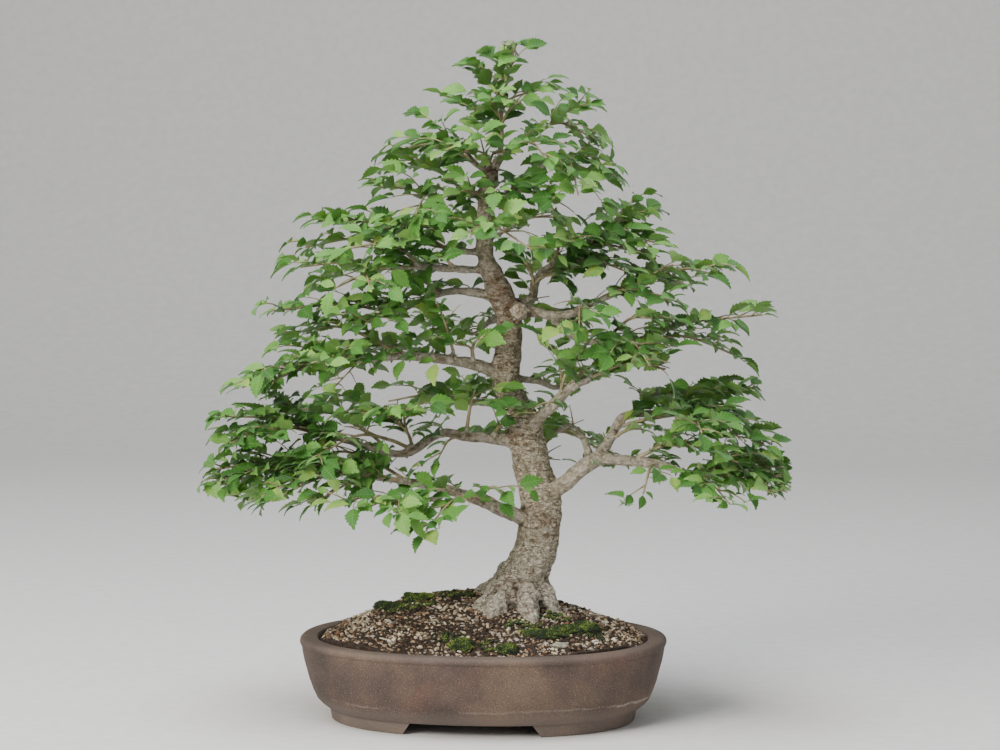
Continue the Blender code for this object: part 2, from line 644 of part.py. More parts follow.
def leaf_frame(point, along, side, key, dodge):
    """The place of one leaf: stalk at the twig, blade facing up and outwards from the tree."""
    draw = random.Random(key)
    up = Vector((0, 0, 1))
    outward = Vector((point.x, point.y * 1.2, 0))
    outward = outward.normalized() if outward.length > 1 else Vector((0, -1, 0))
    across = along.cross(up)
    across = across.normalized() if across.length > 0.2 else outward
    rise = draw.uniform(*LEAF_PITCH)
    if side:
        heading = along * LEAF_ALONG + across * side * LEAF_ACROSS + up * (LEAF_RISE + rise)
    else:
        heading = along + up * (rise - TIP_LEAF_FALL)
        if along.z > STEEP_TWIG:
            heading += outward
    heading.normalize()
    size = LEAF_LENGTH * draw.uniform(*LEAF_SIZES)
    roll = draw.uniform(-LEAF_ROLL, LEAF_ROLL)
    yaw, pitch = dodge
    heading.rotate(Matrix.Rotation(math.radians(yaw), 3, "Z"))
    face = up * FACE_UP + outward * FACE_OUT
    width = face.cross(heading).normalized()
    heading.rotate(Matrix.Rotation(math.radians(pitch), 3, width))
    normal = heading.cross(width).normalized()
    turn = Matrix.Rotation(roll, 3, heading)
    width = turn @ width
    normal = turn @ normal
    basis = Matrix((heading, width, normal)).transposed().to_4x4()
    place = Matrix.Translation(point * MM) @ basis
    return place @ Matrix.Scale(size * MM, 4)


def wood_routes():
    """Every stretch of wood with its sides: trunk, surface roots, limbs and the shoots' spurs."""
    routes = [(TRUNK, TRUNK_SIDES)]
    routes += [(route, LIMB_SIDES) for route in ROOTS.values()]
    routes += [(route, LIMB_SIDES if route[0][3] > THIN_LIMB else THIN_SIDES)
               for route in LIMBS.values()]
    for carrier, index, tips in SHOOTS.values():
        end, heading, spur = shoot_start(carrier, index, tips)
        if spur:
            root = limb_route(carrier)[index][:3]
            routes.append((((*root, SPUR_RADIUS), (*end, SPUR_RADIUS)), THIN_SIDES))
    return routes


def make_wood(home):
    """Trunk, surface roots, limbs and spurs, grown together in one piece."""
    pieces = [tube("trunk_and_limbs", route, sides, home) for route, sides in wood_routes()]
    return boolean(pieces[0], "UNION", pieces[1:])


def shield_trees(routes, sides, home):
    """The surfaces of tubes that are a little too thick, to keep leaves off them."""
    trees = []
    for route in routes:
        shield = tube("shield", route, sides, home, SHIELD_SWELL)
        trees.append(solid_tree(shield))
        drop(shield)
    return trees


def make_shoots(home):
    """Every leafy shoot: its twigs and the leaves that find room on them, fused in one solid."""
    blades = [blade_mesh("blade", *kind, BLADE_THICKNESS) for kind in BLADE_KINDS]
    guards = [blade_mesh("guard", *kind, TEST_THICKNESS) for kind in BLADE_KINDS]
    wood_trees = shield_trees([route for route, sides in wood_routes()], LIMB_SIDES, home)
    twigs = {}
    twig_trees = {}
    for name, (carrier, index, tips) in SHOOTS.items():
        end, heading, spur = shoot_start(carrier, index, tips)
        start = end + heading * CLEARANCE
        twigs[name] = [twig_route(start, heading, tip, f"{name} {number}", number == 0)
                       for number, tip in enumerate(tips)]
        twig_trees[name] = shield_trees(twigs[name], THIN_SIDES, home)

    placed = []
    shoots = []
    for name, routes in twigs.items():
        pieces = [tube(f"shoot_{name}", route, THIN_SIDES, home) for route in routes]
        others = [tree for other, trees in twig_trees.items() if other != name for tree in trees]
        barriers = wood_trees + others
        for number, route in enumerate(routes):
            for seat, (point, along, side) in enumerate(leaf_seats(f"{name} {number}", route)):
                key = f"{name} {number} {seat}"
                kind = random.Random(key + " kind").randrange(len(blades))
                for dodge in DODGES:
                    place = leaf_frame(point, along, side, key, dodge)
                    faces = [tuple(polygon.vertices) for polygon in guards[kind].polygons]
                    corners = [place @ vertex.co for vertex in guards[kind].vertices]
                    tree = BVHTree.FromPolygons(corners, faces)
                    middle = place @ Vector((BLADE_MIDDLE, 0, 0))
                    near = [leaf for spot, leaf in placed
                            if (spot - middle).length < NEIGHBOUR_REACH * LEAF_LENGTH * MM]
                    if not any(tree.overlap(barrier) for barrier in barriers + near):
                        placed.append((middle, tree))
                        leaf = add_object("leaf", blades[kind].copy(), home)
                        leaf.data.transform(place)
                        pieces.append(leaf)
                        break
        shoots.append(boolean(pieces[0], "UNION", pieces[1:]))
    print("leaves", len(placed))
    return shoots


def main():
    """Build the whole bonsai."""
    clear_scene()
    home = bpy.data.collections.new(OBJECT_NAME)
    bpy.context.scene.collection.children.link(home)
    bonsai = bpy.data.objects.new("bonsai", None)
    home.objects.link(bonsai)
    bonsai.location = Vector(BOX_SHIFT) * MM
    materials = {name: make_material(name) for name in COLOURS}

    pot = make_pot(home)
    screens = [make_screen("drain_screen_left", -1, home),
               make_screen("drain_screen_right", 1, home)]
    soil = cut_soil(make_soil(home), home)
    moss = [make_moss(name, domes, soil, home) for name, domes in MOSS_PADS.items()]
    wood = make_wood(home)
    shoots = make_shoots(home)

    finish = (("clay", [pot]), ("net", screens), ("soil", [soil]), ("moss", moss),
              ("bark", [wood]), ("leaf", shoots))
    for name, items in finish:
        for item in items:
            item.data.materials.clear()
            item.data.materials.append(materials[name])
            item.parent = bonsai


main()
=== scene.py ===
"""Looks of the chinese hackberry bonsai: leaves, twigs, bark, moss, gritty soil and clay pot.

Lengths are millimetres from the middle of the pot at the height its feet stand on, as in the
part's own source: +X runs along the pot to the right, +Y away from the viewer, +Z up. settle()
moves each finished piece to its place in the frame, in metres.
"""
import itertools
import math
import random
from functools import partial

import bmesh
import bpy
from mathutils import Matrix, Vector, noise
from mathutils.bvhtree import BVHTree
from mathutils.kdtree import KDTree


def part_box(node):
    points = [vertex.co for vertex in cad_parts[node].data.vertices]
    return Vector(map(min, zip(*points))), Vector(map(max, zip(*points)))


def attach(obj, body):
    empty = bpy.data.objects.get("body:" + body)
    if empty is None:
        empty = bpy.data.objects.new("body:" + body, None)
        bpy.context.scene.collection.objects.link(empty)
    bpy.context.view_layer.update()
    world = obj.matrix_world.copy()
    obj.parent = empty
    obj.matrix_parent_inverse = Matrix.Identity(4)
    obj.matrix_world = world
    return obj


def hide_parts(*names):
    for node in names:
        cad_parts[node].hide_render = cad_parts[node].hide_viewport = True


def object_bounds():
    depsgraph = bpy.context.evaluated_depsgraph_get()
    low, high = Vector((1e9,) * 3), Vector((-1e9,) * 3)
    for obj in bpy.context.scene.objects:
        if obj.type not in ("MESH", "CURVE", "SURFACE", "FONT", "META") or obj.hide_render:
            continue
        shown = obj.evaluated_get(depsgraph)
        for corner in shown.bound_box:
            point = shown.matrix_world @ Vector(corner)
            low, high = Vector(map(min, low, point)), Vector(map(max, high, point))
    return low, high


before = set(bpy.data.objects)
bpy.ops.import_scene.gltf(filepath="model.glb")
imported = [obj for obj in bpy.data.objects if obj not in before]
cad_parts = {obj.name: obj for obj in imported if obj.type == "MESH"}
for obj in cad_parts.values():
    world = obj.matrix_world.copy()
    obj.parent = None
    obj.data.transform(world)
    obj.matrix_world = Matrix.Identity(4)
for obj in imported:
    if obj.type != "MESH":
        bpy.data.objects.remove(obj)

CAD_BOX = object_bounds()
POT_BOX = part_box("pot")
MM = 0.001
UP = Vector((0, 0, 1))
POT_MIDDLE = Vector(((POT_BOX[0].x + POT_BOX[1].x) / 2, (POT_BOX[0].y + POT_BOX[1].y) / 2, 0))
TO_FRAME = Matrix.Translation(POT_MIDDLE) @ Matrix.Scale(MM, 4)
# the leaves stay this far inside the frame's box
BOX_MARGIN = 2
LOWEST = [(CAD_BOX[0][axis] - POT_MIDDLE[axis]) / MM + BOX_MARGIN for axis in range(3)]
HIGHEST = [(CAD_BOX[1][axis] - POT_MIDDLE[axis]) / MM - BOX_MARGIN for axis in range(3)]

# pot
HALF_LENGTH = 165
HALF_WIDTH = 127
SQUARENESS = 2.2
POT_HEIGHT = 74.3
FOOT_HEIGHT = 11.2
POT_FLOOR = 20.5
POT_STEPS = 112
# the wall from the underside up, over the rounded lip and down to the floor: (in from the rim, height)
POT_PROFILE = (
    (24, FOOT_HEIGHT), (21, 13.5), (17.2, 16.6), (14, 20), (10.6, 27.5), (7.6, 36), (5, 46),
    (3.1, 53), (1.6, 60), (0.9, 65), (0.7, 67.3), (-0.3, 68.2), (-0.8, 69.4), (-0.9, 70.8),
    (-0.5, 72.3), (0.4, 73.4), (2, 74.2),
    (4.5, POT_HEIGHT), (12.2, POT_HEIGHT), (14.4, 73.9), (15.8, 72.4), (16.5, 69.5), (16.5, 66),
    (15.4, 62), (13.6, 59), (12.5, 56), (13.4, 48), (16, 38), (19.4, 29.5), (24, 23.5),
    (33, POT_FLOOR),
)
FOOT_TOP_INSET = 25.5
FOOT_BASE_INSET = 27.8
FOOT_WALL = 19
FOOT_TAPER = 4
FOOT_SINK = 1.5
FOOT_EDGE = 0.8
FOOT_GAP_TOP = 52
FOOT_GAP_BASE = 62
DRAIN_RADIUS = 12
DRAIN_X = 62
DRAIN_SIDES = 40
# unevenness of surfaces, here and below, is in layers of (waves a millimetre, height)
POT_WAVES = ((0.018, 0.5), (0.07, 0.18))
POT_CREASE = 32
# the lime's height, in metres, with the 7 mm that its drift adds on average
LIME_LEVEL = 0.0325

# soil
SOIL_INSET = 16.9
SOIL_EDGE = 68.5
# where it lies against the wall: (in from the rim, height)
SOIL_PROFILE = (
    (35, 21), (26, 24), (21, 30), (17.5, 39), (14.6, 49), (13.6, 56), (15.4, 60.5), (SOIL_INSET, 64),
)
SOIL_RINGS = 46
SOIL_STEPS = 128
SOIL_WAVES = ((0.035, 2.2), (0.12, 1.0))
SOIL_CREASE = 60
MOUND_HEIGHT = 42
MOUND_LEAN = 0.03
MOUND_BACK = 18
MOUND_INSET = 14
MOUND_POWER = 1.3
# grit: name, space from grain to grain, least and greatest size
GRIT = (("coarse_grit", 4.2, (1.1, 2.1)), ("fine_grit", 3.5, (0.65, 1.3)))
GRAIN_KINDS = 9
GRAIN_CORNERS = (0.72, 1.15)
GRAIN_LENGTHS = (0.9, 1.7)
GRAIN_HEIGHTS = (0.5, 0.9)
GRAIN_TILT = 0.9
GRAIN_RISE = 0.15
# which kinds of grain are long flat chips of bark
CHIPS = (4, 8)
CHIP_SHAPE = (2.3, 0.35)
PEBBLE = (77, -80)
PEBBLE_HALVES = (8.5, 5.5, 2.8)
PEBBLE_TURN = 0.25
PEBBLE_WAVES = ((1.5, 0.3), (4, 0.1))

# moss pads: (x, y, half length, half width, height)
MOSS_PADS = {
    "moss_front_left": ((-10, -90, 13, 8, 9),),
    "moss_front": ((32, -93, 12, 7.5, 8),),
    "moss_right": ((95, -38, 17, 12, 7), (79, -52, 16, 10, 6), (57, -65, 24, 9, 5.5)),
    "moss_left": ((-58, 2, 22, 13, 6.5), (-82, -4, 18, 12, 5.5)),
}
MOSS_WAVES = ((0.11, 0.45), (0.3, 0.25))
MOSS_SHRINK = 0.12
MOSS_STEM_AREA = 0.5
MOSS_STEM_HEIGHTS = (0.6, 1.5)
STEM_RADIUS = 0.45
STEM_LEAN = 0.45
STEM_WIDTHS = (0.7, 1.1)
STEM_TINTS = (0.1, 0.75)
# ragged patches of young moss between the grains: (x, y, half length, half width)
MOSS_FILM = (
    (-32, 6, 27, 12), (-64, -20, 28, 8), (65, -31, 17, 10), (45, -56, 24, 10), (14, -88, 12, 8),
    (96, -50, 20, 9), (-24, -78, 12, 7), (-10, 66, 40, 18), (70, 52, 26, 16),
)
FILM_WAVES = ((0.12, 0.9), (0.4, 0.5))
# how far a patch reaches before its ragged edge, as a square of its size, and where it thins out
FILM_REACH = 0.75
FILM_THIN = -0.2
# tufts tried on a square millimetre of half length by half width
FILM_TUFTS = 0.6
FILM_TUFT_SIZES = (1.1, 2.2)
FILM_STEM_AREA = 1.1
FILM_STEM_HEIGHTS = (0.6, 1.3)

# wood: each point is (x, y, z, radius)
TRUNK = (
    (35, -4, 80, 20), (35, -4, 105, 20.5), (36, -5, 119, 22), (39, -5, 131, 21.5),
    (44, -3, 144, 20), (50, 1, 161, 19.5), (51, 7, 198, 18.5), (44, 9, 223, 17),
    (36, 10, 264, 15.5), (26, 8, 289, 13), (20, 4, 311, 13), (24, -2, 355, 11.5),
    (19, -4, 377, 11.5), (10, -7, 398, 10), (3, -10, 420, 8), (3, -12, 454, 6.5),
    (5, -14, 476, 7), (9, -14, 491, 5.5), (16, -14, 503, 3.5), (18, -15, 520, 2.5),
    (18, -15, 536, 2),
)
ROOTS = {
    "left": ((32, -8, 138, 12), (23, -12, 123, 13), (12, -19, 109, 11.5), (1, -26, 97, 9),
             (-10, -33, 84, 5.5)),
    "front_left": ((27, -16, 118, 12.5), (19, -26, 108, 11.5), (11, -36, 99, 9), (4, -45, 85, 5)),
    "front": ((41, -17, 119, 11.5), (43, -27, 107, 10.5), (46, -35, 96, 8.5), (49, -44, 81, 4.5)),
    "right": ((52, -8, 119, 11), (61, -11, 106, 8.5), (67, -15, 95, 6.5), (78, -18, 81, 3.5)),
    "back_left": ((27, 2, 134, 12), (15, 8, 118, 11), (0, 20, 110, 8), (-18, 34, 100, 6.5),
                  (-36, 47, 85, 3.5)),
    "back_right": ((42, 13, 118, 12), (48, 33, 104, 8.5), (56, 54, 88, 4.5)),
}
LIMBS = {
    "low_left": ((41, 0, 180, 7), (21, -12, 189, 6.5), (-2, -22, 200, 5.5),
                 (-28, -29, 209, 4.5), (-62, -32, 216, 3.5), (-96, -32, 220, 2.5)),
    "low_left_front": ((-28, -29, 209, 3), (-37, -46, 203, 2.5), (-54, -60, 202, 2.2)),
    "low_right": ((56, 4, 204, 9), (73, -2, 212, 8), (84, -5, 222, 7.5), (96, -6, 231, 7),
                  (108, -7, 236, 6), (132, -16, 235, 5), (156, -20, 234, 4), (178, -21, 228, 3)),
    "low_right_upper": ((103, -6, 234, 5), (112, 2, 249, 5), (119, 11, 263, 4.5),
                        (128, 17, 273, 4), (153, 28, 275, 3)),
    "low_right_back": ((98, -5, 232, 4), (90, 16, 251, 3.5), (76, 28, 262, 3.2),
                       (64, 67, 255, 2.6)),
    "second_left": ((27, 7, 251, 6.5), (5, 11, 252, 5), (-17, 12, 253, 4.5), (-39, 12, 256, 4),
                    (-64, 8, 241, 4), (-83, 3, 238, 3.5), (-129, -6, 251, 2.5)),
    "mid_right": ((44, 3, 266, 6), (57, -6, 278, 5.5), (69, -11, 289, 5), (80, -15, 300, 4.5),
                  (101, -18, 311, 3.2)),
    "back_right": ((23, 9, 308, 3.5), (50, 25, 302, 3), (62, 41, 296, 2.5), (81, 79, 297, 2)),
    "third_left": ((17, 0, 311, 6), (-7, -11, 320, 5.5), (-23, -19, 324, 5),
                   (-43, -27, 327, 4.5), (-70, -35, 329, 4), (-95, -40, 326, 3)),
    "knob_right": ((26, -4, 368, 8), (38, -6, 368, 7.5), (48, -7, 367, 5), (63, -9, 364, 4.5),
                   (81, -10, 366, 4), (97, -10, 375, 3.5), (116, -10, 382, 2.6)),
    "knob_lower": ((64, -9, 363, 3.5), (75, -4, 350, 3.2), (91, 1, 341, 3.2), (110, 6, 341, 3),
                   (131, 12, 342, 2.3)),
    "high_right": ((22, 0, 373, 5.5), (42, 12, 378, 4.5), (46, 19, 395, 4), (61, 19, 409, 3.5),
                   (92, 14, 426, 2.5)),
    "fourth_left": ((14, -3, 381, 5), (-14, -1, 385, 4), (-35, 0, 384, 3.5),
                    (-56, 2, 376, 2.5)),
    "fifth_left": ((8, -8, 404, 4), (-23, -17, 406, 3.5), (-53, -28, 408, 3),
                   (-83, -35, 407, 2.3)),
    "sixth_left": ((4, -9, 421, 3.5), (-15, -6, 421, 3), (-30, -3, 424, 2.4)),
    "seventh_left": ((5, -12, 473, 3), (-15, -12, 472, 2.6), (-32, -11, 471, 2.2)),
    "top_right": ((4, -12, 460, 3.5), (28, -15, 476, 3), (46, -17, 491, 2.6),
                  (63, -18, 500, 2.1)),
    "old_leader": ((6, -14, 480, 6.8), (10, -13, 493, 6.2), (9, -11, 499, 5)),
    "crown_left": ((9, -13, 491, 3), (-3, -14, 498, 2.6), (-12, -15, 504, 2.1)),
    "crown_right": ((17, -14, 504, 2.6), (35, -16, 516, 2.4), (50, -17, 526, 2)),
    "back_low": ((46, 12, 223, 5.5), (47, 55, 230, 4), (47, 95, 236, 2.8)),
    "back_mid": ((28, 9, 284, 5), (3, 51, 281, 4), (-28, 86, 278, 2.8)),
    "back_high": ((22, 0, 357, 4), (6, 37, 358, 3.5), (-13, 76, 346, 2.4)),
    "back_top": ((3, -10, 431, 3), (8, 31, 434, 2.6), (13, 58, 438, 2.1)),
    "front_high": ((3, -12, 436, 2.6), (6, -34, 439, 2.4), (10, -47, 441, 2.1)),
}
# leafy shoots: the wood and the point of its route that carries them, then each twig's tip
SHOOTS = {
    "low_left": ("low_left", 5, ((-243, -26, 213), (-187, -82, 208))),
    "low_left_back": ("low_left", 4, ((-198, 62, 214),)),
    "low_left_front": ("low_left_front", 2, ((-119, -101, 206), (-70, -110, 199))),
    "low_left_inner": ("low_left", 2, ((24, -62, 212),)),
    "second_left": ("second_left", 6, ((-219, -24, 255), (-230, -58, 276))),
    "second_left_back": ("second_left", 5, ((-203, 92, 266),)),
    "second_left_front": ("second_left", 4, ((-140, -90, 243),)),
    "second_left_upright": ("second_left", 2, ((-5, -19, 298),)),
    "second_left_fold": ("second_left", 1, ((51, -40, 280),)),
    "third_left": ("third_left", 5, ((-207, -64, 302), (-138, -104, 327))),
    "third_left_upper": ("third_left", 4, ((-176, 4, 346),)),
    "third_left_back": ("third_left", 3, ((-152, 99, 290),)),
    "third_left_arch": ("third_left", 2, ((-36, -44, 378),)),
    "fourth_left": ("fourth_left", 3, ((-188, -22, 368), (-96, -70, 359))),
    "fourth_left_back": ("fourth_left", 2, ((-156, 96, 381),)),
    "fifth_left": ("fifth_left", 3, ((-158, -44, 408), (-88, -98, 395))),
    "fifth_left_upper": ("fifth_left", 2, ((-163, 10, 424),)),
    "sixth_left": ("sixth_left", 2, ((-148, -14, 450), (-66, -63, 445))),
    "seventh_left": ("seventh_left", 2, ((-93, -16, 479), (-51, -72, 455))),
    "seventh_left_back": ("seventh_left", 1, ((-76, 52, 496),)),
    "crown_left": ("crown_left", 2, ((-44, -26, 538), (-80, 2, 511))),
    "crown_left_front": ("crown_left", 1, ((-25, -69, 511),)),
    "leader": ("trunk", 20, ((21, -17, 606), (58, 6, 567))),
    "leader_left": ("trunk", 19, ((-24, 8, 556),)),
    "crown_right": ("crown_right", 2, ((96, -20, 553), (100, 15, 521))),
    "crown_right_front": ("crown_right", 1, ((62, -66, 504),)),
    "top_right": ("top_right", 3, ((106, -13, 497), (90, -57, 472))),
    "top_right_back": ("top_right", 2, ((82, 62, 486),)),
    "top_right_low": ("top_right", 1, ((73, -44, 452),)),
    "high_right": ("high_right", 4, ((148, 9, 459), (154, -10, 430), (122, 80, 460))),
    "high_right_front": ("high_right", 3, ((86, -55, 432),)),
    "upper_right": ("knob_right", 6, ((206, 10, 407), (182, 76, 388))),
    "upper_right_front": ("knob_right", 5, ((92, -72, 357),)),
    "knob_lower": ("knob_lower", 4, ((228, 34, 326), (250, -8, 366))),
    "knob_lower_front": ("knob_lower", 3, ((153, -60, 324),)),
    "mid_right": ("mid_right", 4, ((165, -22, 318), (150, 66, 314))),
    "back_right": ("back_right", 3, ((134, 130, 325),)),
    "low_right_upper": ("low_right_upper", 4, ((242, 50, 297), (226, -34, 272))),
    "low_right_upper_back": ("low_right_upper", 3, ((191, 124, 276),)),
    "low_right_mid": ("low_right_upper", 2, ((252, 4, 250),)),
    "low_right": ("low_right", 7, ((262, -27, 209), (224, -84, 206), (262, 52, 226))),
    "low_right_hang": ("low_right", 6, ((148, -66, 212),)),
    "low_right_back": ("low_right_back", 3, ((108, 143, 222),)),
    "back_low": ("back_low", 2, ((74, 168, 248), (-23, 164, 238))),
    "back_mid": ("back_mid", 2, ((-106, 140, 274), (-10, 168, 290))),
    "back_high": ("back_high", 2, ((-80, 130, 336),)),
    "back_high_right": ("back_high", 1, ((62, 132, 345),)),
    "back_top": ("back_top", 2, ((69, 112, 450), (-45, 115, 447))),
    "front_high": ("front_high", 2, ((-5, -89, 440), (52, -83, 425))),
}
# finer shoots between them, written the same way
INNER_SHOOTS = {
    "high_right_inner": ("high_right", 2, ((131, -21, 404), (104, 41, 411))),
    "high_right_under": ("high_right", 3, ((142, -15, 421),)),
    "knob_right_end": ("knob_right", 5, ((171, -27, 377), (149, 11, 389))),
    "mid_right_front": ("mid_right", 2, ((109, -49, 336), (68, -28, 338))),
    "mid_right_inner": ("mid_right", 3, ((99, -30, 319),)),
    "low_right_pad": ("low_right_upper", 4, ((233, -36, 257), (199, -75, 267))),
    "low_right_shelf": ("low_right", 5, ((189, -30, 250), (230, -51, 239))),
    "low_right_tip": ("low_right", 7, ((268, 30, 218),)),
    "fifth_left_front": ("fifth_left", 2, ((-107, -82, 426), (-68, -69, 428))),
    "fifth_left_inner": ("fifth_left", 1, ((-41, -65, 414),)),
    "second_left_end": ("second_left", 6, ((-219, -63, 252), (-179, -91, 262))),
    "second_left_pad": ("second_left", 4, ((-99, -71, 281), (-57, -76, 286))),
    "second_left_edge": ("second_left", 6, ((-196, -31, 299),)),
    "low_left_hang": ("low_left", 2, ((-40, -100, 180), (-6, -51, 204))),
    "low_left_edge": ("low_left", 5, ((-242, -21, 224),)),
    "third_left_end": ("third_left", 5, ((-167, -48, 339), (-190, -60, 304))),
    "high_right_start": ("high_right", 1, ((40, -28, 413), (66, -21, 401))),
    "knob_lower_under": ("knob_lower", 3, ((156, -43, 364),)),
    "third_left_start": ("third_left", 1, ((5, -44, 347), (-20, -42, 340))),
    "leader_front": ("trunk", 19, ((38, -34, 555), (8, -34, 559))),
    "leader_top": ("trunk", 20, ((31, -9, 606),)),
    "old_leader_front": ("trunk", 17, ((-12, -46, 510), (27, -39, 511))),
    "upper_front": ("trunk", 15, ((-13, -50, 476), (26, -48, 471))),
    "low_left_under": ("low_left", 4, ((-186, -60, 200), (-145, -55, 199))),
    "low_left_under_tip": ("low_left", 5, ((-234, -45, 212), (-214, -22, 197))),
    "second_left_under": ("second_left", 2, ((-36, -34, 238),)),
    "low_right_end": ("low_right", 7, ((262, 36, 226), (266, 8, 208))),
    "low_right_upper_front": ("low_right_upper", 1, ((144, 6, 262),)),
    "high_right_pad": ("high_right", 2, ((90, 14, 402), (74, -14, 398))),
}
ALL_SHOOTS = SHOOTS | INNER_SHOOTS
# the pads stay apart: gaps pruned open from front to back, as ellipses on the upright plane
# through the pot's middle (x, z, half length, half width, tilt in degrees)
GAPS_LEFT = (
    (-100, 256, 38, 6, -10), (-80, 290, 20, 8, 10), (-125, 390, 17, 8, 40), (-120, 305, 12, 10, 0),
    (-70, 465, 16, 6, -5), (-125, 242, 11, 7, -25), (-210, 293, 13, 5, 5), (-133, 203, 9, 7, 0),
    (-167, 258, 10, 6, -15), (-80, 226, 10, 5, 20), (-153, 378, 10, 5, 35), (-83, 400, 10, 5, 15),
    (-190, 241, 9, 5, 20), (-150, 438, 9, 4, 10), (-104, 427, 9, 4, 5), (-92, 206, 9, 5, 0),
)
GAPS_MIDDLE = (
    (0, 230, 39, 19, -20), (-12, 163, 30, 11, 0), (-13, 371, 18, 9, -10), (0, 272, 10, 9, 0),
    (30, 435, 16, 7, -10), (50, 445, 16, 7, 60), (45, 326, 13, 8, 30), (6, 354, 8, 5, 35),
    (-32, 330, 8, 5, 5), (32, 559, 10, 5, 0), (36, 597, 10, 4, -5), (-47, 542, 10, 4, 5),
    (48, 580, 14, 8, 0),
)
GAPS_RIGHT = (
    (103, 282, 31, 21, 25), (110, 182, 24, 12, 0), (197, 320, 18, 13, -20), (176, 318, 12, 12, 0),
    (157, 308, 26, 9, 10), (96, 387, 14, 9, -10), (125, 248, 14, 10, 25), (61, 380, 15, 9, -30),
    (77, 244, 21, 8, 5), (210, 368, 16, 6, -25), (84, 461, 20, 9, 10), (69, 227, 11, 5, 20),
    (137, 206, 9, 7, 60), (165, 412, 11, 5, 0), (118, 397, 10, 9, -40), (135, 359, 12, 6, 0),
    (70, 258, 12, 4, -5), (156, 388, 10, 5, 35), (70, 421, 7, 5, 0), (168, 267, 11, 4, 20),
    (244, 361, 14, 6, -5),
)
GAPS = GAPS_LEFT + GAPS_MIDDLE + GAPS_RIGHT
# the corners of the crown's outline, left and right, on the same plane: (z, x, x)
OUTLINE = (
    (612, 14, 52), (580, -30, 72), (556, -62, 107), (500, -95, 116), (485, -112, 157),
    (450, -166, 173), (415, -180, 222), (380, -204, 257), (360, -207, 264), (343, -180, 240),
    (290, -247, 247), (255, -245, 279), (205, -262, 287), (182, -203, 236), (165, -88, 70),
    (145, -55, 67),
)
OUTLINE_SLACK = 3
# limbs kept in view: up to which point of their route few leaves hang in front of them
IN_VIEW = {
    "low_left": 3, "low_right": 5, "low_right_upper": 3, "second_left": 5, "third_left": 4,
    "knob_right": 4, "high_right": 3, "mid_right": 3, "fourth_left": 2, "fifth_left": 2,
}
VIEW_MARGIN = 1.5
# the share of leaves that heed them
VIEW_SHARE = 0.8

# twigs
CLEARANCE = 0.3
SPUR_RADIUS = 2.3
SPUR_LENGTH = 6
SPUR_RISE = 0.35
TWIG_RADIUS = 1.8
TWIG_TIP_RADIUS = 0.85
TWIG_RUN = 0.2
TWIG_STEP = 7
FORK_START = 0.05
TWIG_STEPS = (0.6, 1)
FORK_STEPS = (0.45, 1)
TWIG_BEND = 0.38
TWIG_ARCH = 0.07
TWIG_SWAY = 0.05
FORK_THINNING = 0.75

# bare wood on the bark: (x, y, z, reach)
SCARS = ((34, -17, 368, 10), (10, -15, 499, 7))
# the burr on the trunk beside the right-hand limb, facing the viewer
BURR = ((30, -6, 369, 8), (33, -12, 368, 8.5), (35, -16, 368, 7.2), (36, -19, 368, 4))
# bark
SKIN_VOXEL = 1.35
SKIN_PASSES = 3
WOOD_SIDES = 14
ROUTE_STEP = 3
# how much thicker a limb is at the first points of its smooth route
COLLAR = (1.35, 1.21, 1.0875)
GIRTH_POINTS = 14
# how widely and how deeply the bark's hollows are told from its ridges
HOLLOW_PASSES = 14
HOLLOW_DEPTH = 1.1
WRINKLE_RATES = (0.1, 0.1, 0.34)
BARK_WRINKLES = ((1, 1), (2.1, 0.5))
BARK_LUMPS = ((0.16, 1), (0.34, 0.6))
# how deep they are, and the radius of wood from which they are that deep
WRINKLE_DEPTH = 0.75
STOUT_WOOD = 15
LUMP_DEPTH = 0.5
THIN_WOOD = 4
# knots: waves a millimetre, depth on each millimetre of radius, and the radius past which they
# don't grow
KNOT_RATE = 0.08
KNOT_DEPTH = 0.2
KNOT_WOOD = 9
SCAR_RATE = 0.28
SCAR_DEPTH = 2.4
# where the root flare starts and how far down its folds deepen
FLARE_TOP = 145
FLARE_DEPTH = 35
# folds that run down the roots, and folds that wrap round the foot
RIDGE_RATES = (0.085, 0.085, 0.05)
RIDGE_DEPTH = 1.5
WRAP_RATES = (0.05, 0.05, 0.2)
WRAP_DEPTH = 0.8

# leaves
LEAF_LENGTH = 19.5
LEAF_SIZES = (0.52, 1.22)
SIZE_POWER = 1.15
# leaves face away from the crown's middle, and a little more so to the front and back
CROWN_MIDDLE = 20
CROWN_DEPTH = 1.2
LEAF_ALONG = 0.55
LEAF_ACROSS = 0.8
LEAF_RISE = 0.12
LEAF_PITCH = (-0.3, 0.2)
LEAF_ROLL = 0.38
TIP_LEAF_FALL = 0.15
STEEP_TWIG = 0.75
FACE_UP = 0.75
FACE_OUT = 0.68
# from one leaf to the next along a twig
LEAF_GAP = 7.0
TIP_LEAF = 0.4
FIRST_LEAF = 0.5
# from one side twig to the next along a shoot, and how long side twigs are
SIDE_TWIG_GAP = 14.5
SIDE_TWIG_LENGTHS = (42, 24)
SIDE_TWIG_RADIUS = 0.7
SIDE_TWIG_TAPER = (1.15, 0.85, 0.6)
SIDE_TWIG_STEP = 8
SIDE_TWIG_SPREAD = (0.5, 0.9)
SIDE_TWIG_RISE = (-0.1, 0.45)
SIDE_TWIG_SAG = (0.05, 0.14)
# the first one from a shoot's tip, in gaps, and how near its start the last one is
FIRST_SIDE_TWIG = (0.5, 0.9)
SIDE_TWIG_START = 8
# short leafy spurs along the limbs: how far apart, how long, how near a limb's start and tip they
# come, how much of one is inside the limb, and how short a limb has them nearer its start
LIMB_SPUR_GAP = 13
LIMB_SPUR_LENGTHS = (8, 30)
LIMB_SPUR_START = 20
LIMB_SPUR_END = 6.0
LIMB_SPUR_ROOT = 5
SHORT_LIMB = 90
SHORT_LIMB_SHARE = 0.35
